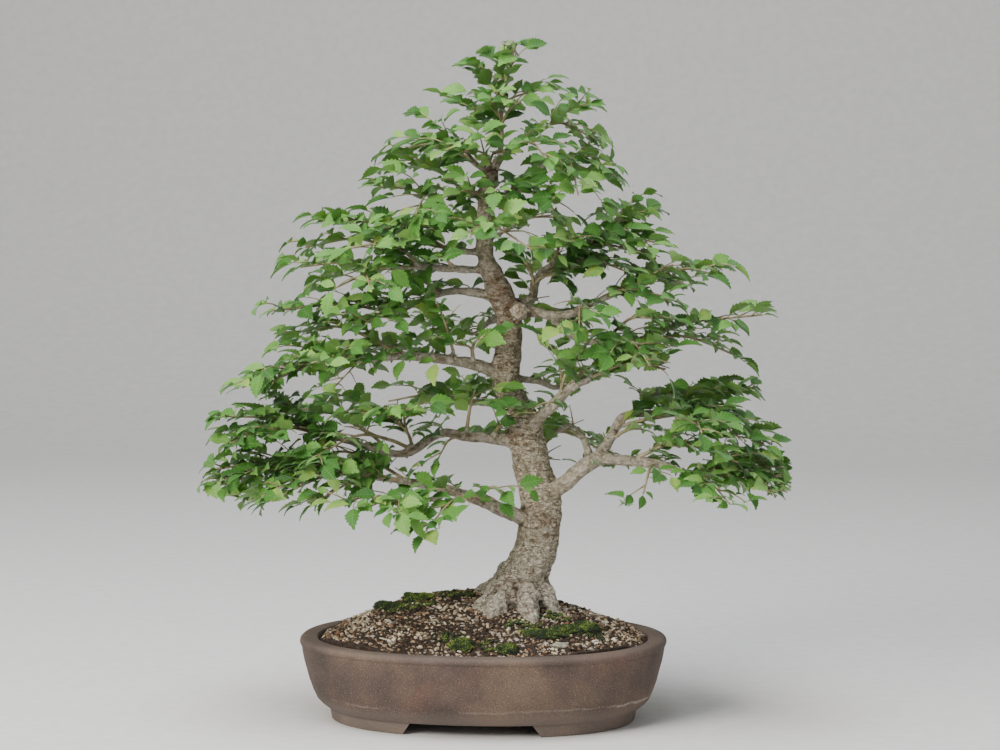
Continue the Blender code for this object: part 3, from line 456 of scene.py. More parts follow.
# from which point of its route the trunk has them too
TRUNK_SPURS = 14
# how far from its start a twig has no leaves
MAIN_BARE = 5
SIDE_BARE = 3
# cells along a blade, stalk included, and along the stalk
BLADE_CELLS = 15
STALK_CELLS = 1
# the rest is in shares of the blade's length
STALK_LENGTH = 0.17
STALK_HALF_WIDTH = 0.02
TOOTH = 0.125
TOOTH_LEAN = 0.04
TOOTHED_FROM = 0.33
TOOTHED_TO = 0.97
RIPPLE = 0.02
# wedge-shaped base, widest near the middle, straight taper to the tip
BASE_POWER = 0.86
TIP_POWER = 1.22
BLADE_THICKNESS = 0.016
# fold along the rib, droop, curl of the tip, width, twist of each kind of blade
BLADE_KINDS = (
    (0.26, 0.20, 0.06, 1.22, 0.00),
    (0.12, 0.24, 0.08, 1.34, 0.10),
    (0.38, 0.14, 0.08, 1.14, -0.10),
    (0.20, 0.30, 0.04, 1.26, 0.05),
    (0.30, 0.22, 0.12, 1.10, -0.12),
)
BLADE_RISE = 0.14
# a coarse blade for tests, and the spots of a blade that stay out of gaps: middle, tip and sides
GUARD_CELLS = 5
BLADE_MARKS = ((0.5, 0, 0), (1, 0, -0.2), (0.3, 0.3, 0), (0.3, -0.3, 0))
# turns tried, in degrees about the upright and across the leaf, to pass neighbours
DODGES = (
    (0, 0), (0, 20), (0, -20), (24, 0), (-24, 0), (24, 22), (-24, -22), (48, 0), (-48, 0),
    (0, 40), (0, -40), (48, 30), (-48, 30),
)

# camera: the photograph's angle and framing; its places are in metres, and EYE in millimetres
LENS = 100.8
AZIMUTH = math.radians(6.0)
ELEVATION = math.radians(4.2)
CAMERA_DISTANCE = 2.517
CAMERA_SIDE = 0.0153
CAMERA_HEIGHT = 0.310
LEVEL = Vector((math.sin(AZIMUTH), -math.cos(AZIMUTH), 0))
RIGHT = Vector((math.cos(AZIMUTH), math.sin(AZIMUTH), 0))
BACK = LEVEL * math.cos(ELEVATION) + Vector((0, 0, math.sin(ELEVATION)))
EYE = (RIGHT * CAMERA_SIDE + Vector((0, 0, CAMERA_HEIGHT)) + BACK * CAMERA_DISTANCE) / MM

# floor and lamps, in metres
FLOOR_SIDE = 6
FLOOR_FRONT = -4
FLOOR_BACK = 2.2
FLOOR_CURVE = 1.4
FLOOR_STEPS = 9
FLOOR_TOP = 6
LAMPS_AIM = Vector((0, 0, 0.28))
# name, place, size, power in watts, colour
LAMPS = (
    ("overhead", (-0.3, -0.5, 2.6), 2.0, 82, "#f4f7ff"),
    ("key", (-1.5, -2.2, 1.6), 1.3, 94, "#fffaf2"),
    ("fill", (2.0, -1.9, 0.9), 1.6, 11, "#f6f8ff"),
)


def linear(colour):
    """An sRGB hex colour as linear RGBA."""
    parts = [int(colour[place:place + 2], 16) / 255 for place in (1, 3, 5)]
    return (*(part / 12.92 if part <= 0.04045 else ((part + 0.055) / 1.055) ** 2.4
              for part in parts), 1)


def feed(tree, node, inputs):
    """Set a node's inputs, or link them to the outputs of other nodes."""
    for name, value in inputs.items():
        if isinstance(value, bpy.types.NodeSocket):
            tree.links.new(value, node.inputs[name])
        else:
            node.inputs[name].default_value = value


def add_node(tree, kind, inputs, output=None, stops=(), **settings):
    """Add a shader node with its settings, its ramp's stops and its values or links, and give its
    first output in use, or the named one."""
    node = tree.nodes.new("ShaderNode" + kind)
    for name, value in settings.items():
        setattr(node, name, value)
    for number, (position, colour) in enumerate(stops):
        ramp = node.color_ramp.elements
        stop = ramp[number] if number < 2 else ramp.new(position)
        stop.position = position
        stop.color = linear(colour)
    feed(tree, node, inputs)
    return node.outputs[output] if output else next(plug for plug in node.outputs if plug.enabled)


def material(name):
    """A new material, what adds nodes to it, and where its pattern is read."""
    item = bpy.data.materials.new(name)
    item.use_nodes = True
    add = partial(add_node, item.node_tree)
    return item, add, add("TexCoord", {}, "Object")


def finish(item, inputs):
    """Give a material's shader its colour, relief and constants."""
    feed(item.node_tree, item.node_tree.nodes["Principled BSDF"], inputs)
    return item


def per(size):
    """The scale of a pattern whose features are so many millimetres across."""
    return 1 / (size * MM)


def lay(add, under, over, driver, start=0, end=1, most=1, **settings):
    """Lay a finish over another: none where the driver is at its start, most at its end."""
    share = add("MapRange", {"Value": driver, "From Min": start, "From Max": end, "To Max": most})
    over = linear(over) if isinstance(over, str) else over
    return add("Mix", {0: share, 6: under, 7: over}, data_type="RGBA", **settings)


def grained_material(name, size, detail, stops, roughness, relief=(), evenness=0.5):
    """A material whose colour follows its grain, and its relief too: (strength, depth)."""
    item, add, where = material(name)
    grain = add("TexNoise", {"Vector": where, "Scale": per(size), "Detail": detail,
                             "Roughness": evenness})
    inputs = {"Base Color": add("ValToRGB", {0: grain}, stops=stops), "Roughness": roughness}
    if relief:
        strength, depth = relief
        inputs["Normal"] = add("Bump", {"Height": grain, "Strength": strength,
                                        "Distance": depth * MM})
    return finish(item, inputs)


def leaf_material():
    """Living hackberry leaf: thin, matt, with a faint waxy bloom that pales what faces the sky,
    light that comes through from behind, sunken side veins and a pale midrib."""
    item, add, where = material("living_hackberry_leaf")
    place = add("UVMap", {}, uv_map="blade")
    along = add("SeparateXYZ", {0: place}, "X")
    across = add("SeparateXYZ", {0: place}, "Y")
    off_rib = add("Math", {0: across, 1: 0.5}, operation="SUBTRACT")
    off_rib = add("Math", {0: off_rib}, operation="ABSOLUTE")
    # six pairs of side veins that leave the rib forwards
    reach = add("Math", {0: off_rib, 1: -0.55, 2: along}, operation="MULTIPLY_ADD")
    wave = add("Math", {0: reach, 1: 6.5 * math.tau}, operation="MULTIPLY")
    vein = add("Math", {0: wave}, operation="COSINE")
    vein = add("MapRange", {"Value": vein, "From Min": 0.72, "From Max": 1})
    rib = add("MapRange", {"Value": off_rib, "From Min": 0.035, "From Max": 0.008})
    lines = add("Math", {0: vein, 1: rib}, operation="MAXIMUM")

    tint = add("Attribute", {}, "Fac", attribute_name="tint")
    blotch = add("TexNoise", {"Vector": where, "Scale": per(9), "Detail": 3})
    shade = add("Math", {0: blotch, 1: 0.5}, operation="SUBTRACT")
    shade = add("Math", {0: shade, 1: 0.55, 2: tint}, operation="MULTIPLY_ADD")
    colour = add("ValToRGB", {0: shade}, stops=(
        (0.0, "#386f22"), (1.0, "#a9c75a"), (0.3, "#528e31"), (0.65, "#70aa45"), (0.93, "#8fbf5c")))
    # the oldest leaves are scorched at the edge
    edge = add("MapRange", {"Value": off_rib, "From Min": 0.30, "From Max": 0.5})
    old = add("MapRange", {"Value": tint, "From Min": 0.955, "From Max": 0.985})
    scorch = add("Math", {0: edge, 1: old}, operation="MULTIPLY")
    colour = lay(add, colour, "#7a5a2c", scorch)
    under = add("Attribute", {}, "Fac", attribute_name="under")
    colour = lay(add, colour, "#93b560", under, most=0.45)
    colour = lay(add, colour, "#b9d09c", lines, most=0.16)
    fine = add("TexNoise", {"Vector": where, "Scale": per(1.4), "Detail": 2})
    height = add("Math", {0: lines, 1: -0.8, 2: fine}, operation="MULTIPLY_ADD")
    bump = add("Bump", {"Height": height, "Strength": 0.5, "Distance": 0.6 * MM})
    # light that has passed through the blade is yellower
    glow = add("Mix", {0: 0.5, 6: colour, 7: linear("#aad843")}, data_type="RGBA")
    through = add("BsdfTranslucent", {"Color": glow, "Normal": bump})
    nodes = item.node_tree.nodes
    face = nodes["Principled BSDF"].outputs[0]
    feed(item.node_tree, nodes["Material Output"],
         {"Surface": add("MixShader", {0: 0.34, 1: face, 2: through})})
    return finish(item, {
        "Base Color": colour, "Normal": bump, "Roughness": 0.42, "IOR": 1.45,
        "Sheen Weight": 0.42, "Sheen Roughness": 0.4, "Sheen Tint": linear("#d5ecdc"),
        "Specular IOR Level": 0.42})


def twig_material():
    """Young hackberry twig: smooth green-brown rind with pale pores."""
    item, add, where = material("young_hackberry_twig")
    patch = add("TexNoise", {"Vector": where, "Scale": per(14), "Detail": 3})
    rind = add("ValToRGB", {0: patch}, stops=((0.3, "#6c6142"), (0.72, "#b5a482"), (0.5, "#918560")))
    pores = add("TexVoronoi", {"Vector": where, "Scale": per(1.8)})
    dots = add("MapRange", {"Value": pores, "From Min": 0.22, "From Max": 0.12})
    bump = add("Bump", {"Height": dots, "Strength": 0.4, "Distance": 0.3 * MM})
    return finish(item, {"Base Color": lay(add, rind, "#a89a7c", dots), "Normal": bump,
                         "Roughness": 0.6})


def crackle(add, where, cell, width, shape):
    """Fine cracks round uneven plates of the given size: 1 in a crack and 0 outside it."""
    wander = add("TexNoise", {"Vector": where, "Scale": per(cell * 1.6), "Detail": 3,
                              "Roughness": 0.6}, "Color")
    reach = cell * MM * 0.9
    bent = add("VectorMath", {0: wander, 1: (reach, reach, reach), 2: where},
               operation="MULTIPLY_ADD")
    plates = add("Mapping", {"Vector": bent, "Scale": shape})
    edge = add("TexVoronoi", {"Vector": plates, "Scale": per(cell)}, feature="DISTANCE_TO_EDGE")
    return add("MapRange", {"Value": edge, "From Min": width, "From Max": 0.0})


def bark_material():
    """Hackberry bark: thin, dry and corky. The trunk is sandy grey, wrinkled all over by fine dark
    cracks with pale edges, browner higher up and paler on the root flare. The limbs are lumpy, with
    pores, and a film of green algae lies in the damp places. Bare wood shows at the burr and the
    old leader's cut."""
    item, add, where = material("hackberry_bark")
    # heights are in metres here, and so is girth
    up = add("SeparateXYZ", {0: where}, "Z")
    girth = add("Attribute", {}, "Fac", attribute_name="girth")
    thick = add("MapRange", {"Value": girth, "From Min": 0.006, "From Max": 0.012})
    # the roots are as old as the trunk's foot and crack like it
    foot = add("MapRange", {"Value": up, "From Min": 0.15, "From Max": 0.12})
    thick = add("Math", {0: thick, 1: foot}, operation="MAXIMUM")
    lumps = add("TexNoise", {"Vector": where, "Scale": per(3.4), "Detail": 5, "Roughness": 0.66})
    fine = add("TexNoise", {"Vector": where, "Scale": per(1.1), "Detail": 4, "Roughness": 0.65})
    broad = add("TexNoise", {"Vector": where, "Scale": per(24), "Detail": 4})
    # 3 mm grains of cork, twice as wide as high
    squeezed = add("Mapping", {"Vector": where, "Scale": (0.5, 0.5, 1)})
    grains = add("TexNoise", {"Vector": squeezed, "Scale": per(2.6), "Detail": 3, "Roughness": 0.6,
                              "Distortion": 0.7})
    rough = add("ValToRGB", {0: grains}, stops=(
        (0.30, "#85755d"), (0.70, "#e3d9c5"), (0.43, "#a89a80"), (0.56, "#c2b59c")))
    young = add("ValToRGB", {0: lumps}, stops=(
        (0.33, "#5d5244"), (0.67, "#cfc7b6"), (0.45, "#877a68"), (0.56, "#a99d89")))
    colour = lay(add, young, rough, thick)
    # brown patches 10 to 20 mm wide, where the outer skin has worn through
    colour = lay(add, colour, "#b08660", broad, 0.47, 0.34, 0.5, blend_type="MULTIPLY")
    high = add("MapRange", {"Value": up, "From Min": 0.28, "From Max": 0.38, "To Max": 0.6})
    high = add("Math", {0: high, 1: thick}, operation="MULTIPLY")
    colour = lay(add, colour, "#a0785a", high, blend_type="MULTIPLY")
    # the root flare, up to 60 mm above the soil, is washed paler and greyer
    colour = lay(add, colour, "#e6e2d4", up, 0.165, 0.105, 0.35)
    # green algae in the damp places
    colour = lay(add, colour, "#76794a", broad, 0.56, 0.70, 0.42)
    # wrinkles: broken cracks 4 mm apart and finer ones at 2 mm, wider than they are high
    breaks = add("TexNoise", {"Vector": where, "Scale": per(5), "Detail": 2})
    here = add("MapRange", {"Value": breaks, "From Min": 0.43, "From Max": 0.55})
    there = add("MapRange", {"Value": breaks, "From Min": 0.56, "From Max": 0.44, "To Max": 0.75})
    coarse = crackle(add, where, 4.0, 0.105, (0.6, 0.6, 1))
    coarse = add("Math", {0: coarse, 1: here}, operation="MULTIPLY")
    small = crackle(add, where, 2.3, 0.14, (0.7, 0.7, 1))
    small = add("Math", {0: small, 1: there}, operation="MULTIPLY")
    crack = add("Math", {0: coarse, 1: small}, operation="MAXIMUM")
    crack = add("Math", {0: crack, 1: thick}, operation="MULTIPLY")
    colour = lay(add, colour, "#4a3a27", crack, most=0.85)
    pores = add("TexVoronoi", {"Vector": where, "Scale": per(5)})
    pits = add("MapRange", {"Value": pores, "From Min": 0.15, "From Max": 0.08, "To Max": 0.55})
    colour = lay(add, colour, "#43362a", pits)
    # the colour is lighter where the grain stands high and darker where it is low
    skin = add("Mix", {0: thick, 2: lumps, 3: grains})
    worn = add("MapRange", {"Value": skin, "From Min": 0.36, "From Max": 0.66,
                            "To Min": 0.84, "To Max": 1.16})
    colour = add("VectorMath", {0: colour, "Scale": worn}, operation="SCALE")
    # painted shade darkens the hollows of the bark's folds, and a painted highlight pales its ridges
    hollow = add("Attribute", {}, "Fac", attribute_name="hollow")
    colour = lay(add, colour, "#40301f", hollow, 0.1, 0.8, 0.85)
    colour = lay(add, colour, "#dcd4c3", hollow, -0.05, -0.6, 0.4)
    # bare wood, checked by drying, inside a dark rim of callus
    bare = add("ValToRGB", {0: lumps}, stops=(
        (0.34, "#7a6450"), (0.66, "#e9dfd0"), (0.43, "#b5a28c"), (0.54, "#cfc2b0")))
    scar = add("Attribute", {}, "Fac", attribute_name="scar")
    colour = lay(add, colour, "#4f3d2f", scar, 0.05, 0.4, 0.45)
    colour = lay(add, colour, bare, scar, 0.42, 0.6)
    relief = add("Math", {0: fine, 1: 0.3, 2: skin}, operation="MULTIPLY_ADD")
    relief = add("Math", {0: crack, 1: -0.3, 2: relief}, operation="MULTIPLY_ADD")
    relief = add("Math", {0: pits, 1: -0.2, 2: relief}, operation="MULTIPLY_ADD")
    bump = add("Bump", {"Height": relief, "Strength": 1, "Distance": 4.5 * MM})
    return finish(item, {"Base Color": colour, "Normal": bump, "Roughness": 0.88, "IOR": 1.4})


def clay_material():
    """Unglazed stoneware: brown-grey, fired unevenly so that it flushes pink in places, with pale
    grog specks, a lip painted paler as a highlight, and lime left by water in a line low on the wall."""
    item, add, where = material("unglazed_stoneware")
    up = add("SeparateXYZ", {0: where}, "Z")
    cloud = add("TexNoise", {"Vector": where, "Scale": per(60), "Detail": 6})
    colour = add("ValToRGB", {0: cloud}, stops=(
        (0.32, "#3f332c"), (0.68, "#6d5a49"), (0.5, "#54443b")))
    flush = add("TexNoise", {"Vector": where, "Scale": per(42), "Detail": 2, "W": 3},
                noise_dimensions="4D")
    colour = lay(add, colour, "#704f41", flush, 0.55, 0.75, 0.5)
    grain = add("TexNoise", {"Vector": where, "Scale": per(1.1), "Detail": 4})
    lit = add("MapRange", {"Value": grain, "From Min": 0.35, "From Max": 0.7,
                           "To Min": 0.75, "To Max": 1.3})
    colour = add("VectorMath", {0: colour, "Scale": lit}, operation="SCALE")
    # grog: pale grains 0.5 to 1 mm wide
    cells = add("TexVoronoi", {"Vector": where, "Scale": per(1.7)})
    specks = add("MapRange", {"Value": cells, "From Min": 0.2, "From Max": 0.12, "To Max": 0.5})
    colour = lay(add, colour, "#b0a084", specks)
    # painted highlight: the lip is paler towards its top, where it catches the light
    colour = lay(add, colour, "#71645b", up, 0.068, 0.0735, 0.35)
    # lime: a wavering line about 26 mm up, which shows best round the pot's ends, and a film under it
    drift = add("TexNoise", {"Vector": where, "Scale": per(30), "Detail": 6, "Roughness": 0.7})
    level = add("Math", {0: drift, 1: 0.014, 2: up}, operation="MULTIPLY_ADD")
    off_line = add("Math", {0: level, 1: LIME_LEVEL}, operation="SUBTRACT")
    off_line = add("Math", {0: off_line}, operation="ABSOLUTE")
    line = add("MapRange", {"Value": off_line, "From Min": 0.0014, "From Max": 0.0001,
                            "To Max": 0.75})
    film = add("MapRange", {"Value": level, "From Min": LIME_LEVEL, "From Max": 0.020,
                            "To Max": 0.22})
    broken = add("Math", {0: cloud, 1: 2, 2: grain}, operation="MULTIPLY_ADD")
    broken = add("MapRange", {"Value": broken, "From Min": 1.38, "From Max": 1.62})
    aside = add("Math", {0: add("SeparateXYZ", {0: where}, "X")}, operation="ABSOLUTE")
    ends = add("MapRange", {"Value": aside, "From Min": 0.07, "From Max": 0.12,
                            "To Min": 0.3, "To Max": 1.2})
    lime = add("Math", {0: line, 1: broken}, operation="MULTIPLY")
    lime = add("Math", {0: lime, 1: ends, 2: film}, operation="MULTIPLY_ADD")
    colour = lay(add, colour, "#a1968b", lime)
    relief = add("Math", {0: specks, 1: 0.5, 2: grain}, operation="MULTIPLY_ADD")
    bump = add("Bump", {"Height": relief, "Strength": 0.35, "Distance": 0.8 * MM})
    return finish(item, {"Base Color": colour, "Normal": bump, "Roughness": 0.78, "IOR": 1.5})


def grit_material():
    """Bonsai grit: pumice, fired clay, lava and bark chips, each grain of one colour, dusty."""
    item, add, where = material("bonsai_grit")
    tint = add("Attribute", {}, "Fac", attribute_name="tint")
    kind = add("ValToRGB", {0: tint}, stops=(
        (0.0, "#33281f"), (1.0, "#e2d8c0"), (0.16, "#4f3f30"), (0.3, "#77644e"), (0.42, "#97826a"),
        (0.54, "#7d573d"), (0.61, "#ad9779"), (0.73, "#aca297"), (0.85, "#c9b898")))
    kind.node.color_ramp.interpolation = "CONSTANT"
    dust = add("TexNoise", {"Vector": where, "Scale": per(1.5), "Detail": 5})
    lit = add("MapRange", {"Value": dust, "From Min": 0.3, "From Max": 0.7,
                           "To Min": 0.62, "To Max": 1.25})
    colour = add("VectorMath", {0: kind, "Scale": lit}, operation="SCALE")
    bump = add("Bump", {"Height": dust, "Strength": 0.8, "Distance": 0.8 * MM})
    return finish(item, {"Base Color": colour, "Normal": bump, "Roughness": 0.93})


def soil_material():
    """Damp composted bark and dust between the grains: almost black where it is deep."""
    stops = ((0.35, "#1e1711"), (0.72, "#6f5840"), (0.55, "#3f3025"))
    return grained_material("damp_soil", 3, 8, stops, 0.95, (1, 3), 0.7)


def moss_material():
    """Cushion moss: velvety, dark between the stems and bright yellow-green at their tips."""
    item, add, where = material("cushion_moss")
    tint = add("Attribute", {}, "Fac", attribute_name="tint")
    patch = add("TexNoise", {"Vector": where, "Scale": per(11), "Detail": 4})
    bright = add("MapRange", {"Value": patch, "From Min": 0.38, "From Max": 0.64})
    mixed = add("Math", {0: bright, 1: 0.5, 2: tint}, operation="MULTIPLY_ADD")
    colour = add("ValToRGB", {0: mixed}, stops=(
        (0.1, "#10170a"), (1.0, "#93a238"), (0.45, "#20330a"), (0.68, "#3a5512"), (0.86, "#627d20")))
    return finish(item, {"Base Color": colour, "Roughness": 0.9, "Sheen Weight": 0.08,
                         "Sheen Roughness": 0.6})


def net_material():
    """Black polyethylene net: waxy and slightly dusty."""
    return grained_material("polyethylene_net", 5, 5, ((0.4, "#121212"), (0.8, "#3b342c")), 0.5)


def stone_material():
    """Water-worn limestone pebble: pale grey, fine-grained, stained darker."""
    stops = ((0.3, "#777363"), (0.7, "#aeab98"))
    return grained_material("limestone_pebble", 4, 6, stops, 0.8, (0.5, 0.6))


def paper_material():
    """Matt studio paper: almost even, so that it doesn't vie with the tree."""
    return grained_material("matt_paper", 1000 / 60, 4, ((0.3, "#dcdad6"), (0.7, "#e4e2de")), 0.95)


def mesh_of(bm, name):
    """Turn a finished bmesh into a mesh."""
    mesh = bpy.data.meshes.new(name)
    bm.to_mesh(mesh)
    bm.free()
    return mesh


def settle(bm, name, materials, replaced=()):
    """Make a finished bmesh a piece of the bonsai: moved to the frame, riding on its body."""
    mesh = mesh_of(bm, name)
    mesh.transform(TO_FRAME)
    for item in materials:
        mesh.materials.append(item)
    piece = scratch(name, mesh)
    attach(piece, "root")
    if replaced:
        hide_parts(*replaced)
    return piece


def scratch(name, data):
    """An object that holds a mesh, curve, lamp or camera."""
    item = bpy.data.objects.new(name, data)
    bpy.context.scene.collection.objects.link(item)
    return item


def take(mesh_object):
    """The evaluated mesh of a scratch object, which is then removed."""
    bpy.context.view_layer.update()
    graph = bpy.context.evaluated_depsgraph_get()
    mesh = bpy.data.meshes.new_from_object(mesh_object.evaluated_get(graph))
    bpy.data.objects.remove(mesh_object, do_unlink=True)
    return mesh


def bmesh_of(mesh):
    """A bmesh made from a mesh."""
    bm = bmesh.new()
    bm.from_mesh(mesh)
    return bm


def cut(bm, operation, tool):
    """Join a solid with another, or cut it, in bmesh."""
    solid, other = (scratch("solid", mesh_of(source, "solid")) for source in (bm, tool))
    modifier = solid.modifiers.new(operation.lower(), "BOOLEAN")
    modifier.operation = operation
    modifier.object = other
    modifier.solver = "EXACT"
    mesh = take(solid)
    bpy.data.objects.remove(other, do_unlink=True)
    return bmesh_of(mesh)


def smooth(faces):
    """Shade faces smooth."""
    for face in faces:
        face.smooth = True


def sharpen(bm, degrees):
    """Shade smooth, with edges steeper than an angle kept sharp."""
    smooth(bm.faces)
    for edge in bm.edges:
        edge.smooth = edge.calc_face_angle(0) < math.radians(degrees)


def relax(bm, passes):
    """Even out a surface."""
    for _ in range(passes):
        bmesh.ops.smooth_vert(bm, verts=bm.verts, factor=0.5, use_axis_x=True, use_axis_y=True,
                              use_axis_z=True)


def waves(spot, layers, level=0):
    """Smooth unevenness about a level, in layers of (waves a millimetre, height)."""
    return sum((height * noise.noise(spot * rate) for rate, height in layers), level)


def stretched(spot, rates):
    """A spot for unevenness that is longer one way: (waves a millimetre along x, y and z)."""
    return Vector((spot.x * rates[0], spot.y * rates[1], spot.z * rates[2]))


def squared(value):
    """A sine or cosine as the pot's squared oval has it."""
    return math.copysign(abs(value) ** (2 / SQUARENESS), value)


def turned_oval(profile, steps):
    """Turn a profile of (reach along x, reach along y, height) round the pot's squared oval."""
    bm = bmesh.new()
    level = bm.verts.layers.int.new("level")
    ring = []
    for number, (x_reach, _, height) in enumerate(profile):
        vertex = bm.verts.new((x_reach, 0, height))
        vertex[level] = number
        ring.append(vertex)
    edges = [bm.edges.new(pair) for pair in zip(ring, ring[1:])]
    bmesh.ops.spin(bm, geom=ring + edges, cent=(0, 0, 0), axis=(0, 0, 1), angle=math.tau,
                   steps=steps, use_merge=True)
    for vertex in bm.verts:
        angle = math.atan2(vertex.co.y, vertex.co.x)
        x_reach, y_reach, height = profile[vertex[level]]
        vertex.co = (squared(math.cos(angle)) * x_reach, squared(math.sin(angle)) * y_reach, height)
    return bm


def set_in(outline):
    """A profile for turned_oval, from an outline of (in from the rim, height)."""
    return [(HALF_LENGTH - inset, HALF_WIDTH - inset, height) for inset, height in outline]


def close_ends(bm):
    """Close every open rim with a flat face and point all faces outwards."""
    bmesh.ops.holes_fill(bm, edges=[edge for edge in bm.edges if edge.is_boundary], sides=0)
    bmesh.ops.recalc_face_normals(bm, faces=bm.faces)


def make_feet():
    """Two feet that wrap round the pot's ends: a ring under the floor, parted front and back."""
    top = FOOT_HEIGHT + FOOT_SINK
    inner_top = FOOT_TOP_INSET + FOOT_WALL
    inner_base = FOOT_BASE_INSET + FOOT_WALL - FOOT_TAPER
    feet = turned_oval(set_in((
        (FOOT_TOP_INSET, top), (FOOT_BASE_INSET - 0.3, FOOT_EDGE), (FOOT_BASE_INSET + FOOT_EDGE, 0),
        (inner_base - FOOT_EDGE, 0), (inner_base + 0.3, FOOT_EDGE), (inner_top, top),
        (FOOT_TOP_INSET, top))), POT_STEPS)
    bmesh.ops.remove_doubles(feet, verts=feet.verts, dist=0.01)
    bmesh.ops.recalc_face_normals(feet, faces=feet.faces)
    gap = bmesh.new()
    bmesh.ops.create_cube(gap, size=2)
    for vertex in gap.verts:
        low = vertex.co.z < 0
        vertex.co.x *= FOOT_GAP_BASE if low else FOOT_GAP_TOP
        vertex.co.y *= HALF_WIDTH
        vertex.co.z = -1 if low else top + 1
    return cut(feet, "DIFFERENCE", gap)


def make_pot(clay):
    """The fired pot with its rolled lip, two wrap-round feet and two drain holes."""
    bm = turned_oval(set_in(POT_PROFILE), POT_STEPS)
    close_ends(bm)
    bm = cut(bm, "UNION", make_feet())
    for side in (-1, 1):
        drill = bmesh.new()
        bmesh.ops.create_cone(drill, cap_ends=True, segments=DRAIN_SIDES, radius1=DRAIN_RADIUS,
                              radius2=DRAIN_RADIUS, depth=3 * POT_FLOOR)
        bmesh.ops.translate(drill, vec=(side * DRAIN_X, 0, POT_FLOOR), verts=drill.verts)
        bm = cut(bm, "DIFFERENCE", drill)
    # the wall is a little uneven, as pressed clay is
    for vertex in bm.verts:
        if vertex.co.z > FOOT_HEIGHT + 2:
            out = Vector((vertex.co.x, vertex.co.y, 0)).normalized()
            vertex.co -= out * (abs(waves(vertex.co, POT_WAVES)) + 0.02)
    sharpen(bm, POT_CREASE)
    settle(bm, "stoneware_pot", [clay], ["pot"])


def soil_height(x, y):
    """Height of the smooth mound, highest behind and left of the trunk."""
    across = max(0, 1 - (x / (HALF_LENGTH - MOUND_INSET)) ** 2)
    back = MOUND_BACK * across
    reach = HALF_WIDTH - MOUND_INSET
    depth = max(0, 1 - ((y - back) / (reach + (back if y < back else -back))) ** 2)
    return SOIL_EDGE + (MOUND_HEIGHT - MOUND_LEAN * x) * across * depth ** MOUND_POWER


def soil_surface(x, y):
    """The mound with the lumps that watering has left in it."""
    return waves(Vector((x, y, 0)), SOIL_WAVES, soil_height(x, y))


def make_soil(earth):
    """The soil that fills the pot, mounded to the trunk."""
    profile = set_in(SOIL_PROFILE)
    x_reach, y_reach = profile[-1][:2]
    for step in range(SOIL_RINGS):
        share = 1 - step / SOIL_RINGS
        profile.append((x_reach * share, y_reach * share, 0))
    bm = turned_oval(profile, SOIL_STEPS)
    level = bm.verts.layers.int["level"]
    for vertex in bm.verts:
        if vertex[level] >= len(SOIL_PROFILE):
            vertex.co.z = soil_surface(vertex.co.x, vertex.co.y)
    close_ends(bm)
    sharpen(bm, SOIL_CREASE)
    settle(bm, "damp_soil", [earth], ["soil"])


def tinted():
    """A bmesh whose faces carry a tint."""
    bm = bmesh.new()
    bm.faces.layers.float.new("tint")
    return bm


def grain_mesh(number):
    """One angular grain of grit of about unit radius."""
    draw = random.Random(f"grain {number}")
    bm = tinted()
    bmesh.ops.create_icosphere(bm, subdivisions=1, radius=1)
    for vertex in bm.verts:
        vertex.co *= draw.uniform(*GRAIN_CORNERS)
    longer, flatter = draw.uniform(*GRAIN_LENGTHS), draw.uniform(*GRAIN_HEIGHTS)
    if number in CHIPS:
        longer, flatter = CHIP_SHAPE
    bmesh.ops.scale(bm, vec=(longer, 1, flatter), verts=bm.verts)
    return mesh_of(bm, "grain")


def add_copy(bm, mesh, place, tint):
    """Add a placed copy of a small mesh to a bmesh, all its faces with one tint."""
    copy = mesh.copy()
    copy.transform(place)
    copy.attributes["tint"].data.foreach_set("value", [tint] * len(copy.polygons))
    bm.from_mesh(copy)
    bpy.data.meshes.remove(copy)


def random_turn(draw):
    """A random rotation."""
    turn = Matrix.Rotation(draw.uniform(0, math.tau), 4, "Z")
    tilt = Matrix.Rotation(draw.uniform(-GRAIN_TILT, GRAIN_TILT), 4, "X")
    return turn @ tilt @ Matrix.Rotation(draw.uniform(0, math.tau), 4, "Z")


def make_grit(grit):
    """Grains of grit all over the soil, coarse and fine, in two pieces."""
    kinds = [grain_mesh(number) for number in range(GRAIN_KINDS)]
    reach_x = HALF_LENGTH - SOIL_INSET - 1
    reach_y = HALF_WIDTH - SOIL_INSET - 1
    for name, spacing, sizes in GRIT:
        draw = random.Random(name)
        bm = bmesh.new()
        for column in range(math.ceil(2 * reach_x / spacing)):
            for row in range(math.ceil(2 * reach_y / spacing)):
                x = -reach_x + (column + draw.uniform(0, 1)) * spacing
                y = -reach_y + (row + draw.uniform(0, 1)) * spacing
                size = draw.uniform(*sizes) * draw.choice((0.7, 1, 1, 1.2))
                # grains of a colour lie in patches
                patch = noise.noise(Vector((x, y, 60)) * 0.05)
                tint = min(1, max(0, 0.97 * draw.random() + 0.6 * patch))
                kind = draw.choice(kinds)
                turn = random_turn(draw)
                edge = abs(x / (reach_x - size)) ** SQUARENESS + abs(y / (reach_y - size)) ** SQUARENESS
                if edge < 1:
                    height = soil_surface(x, y) + size * GRAIN_RISE
                    place = Matrix.Translation((x, y, height)) @ turn @ Matrix.Scale(size, 4)
                    add_copy(bm, kind, place, tint)
        settle(bm, name, [grit])


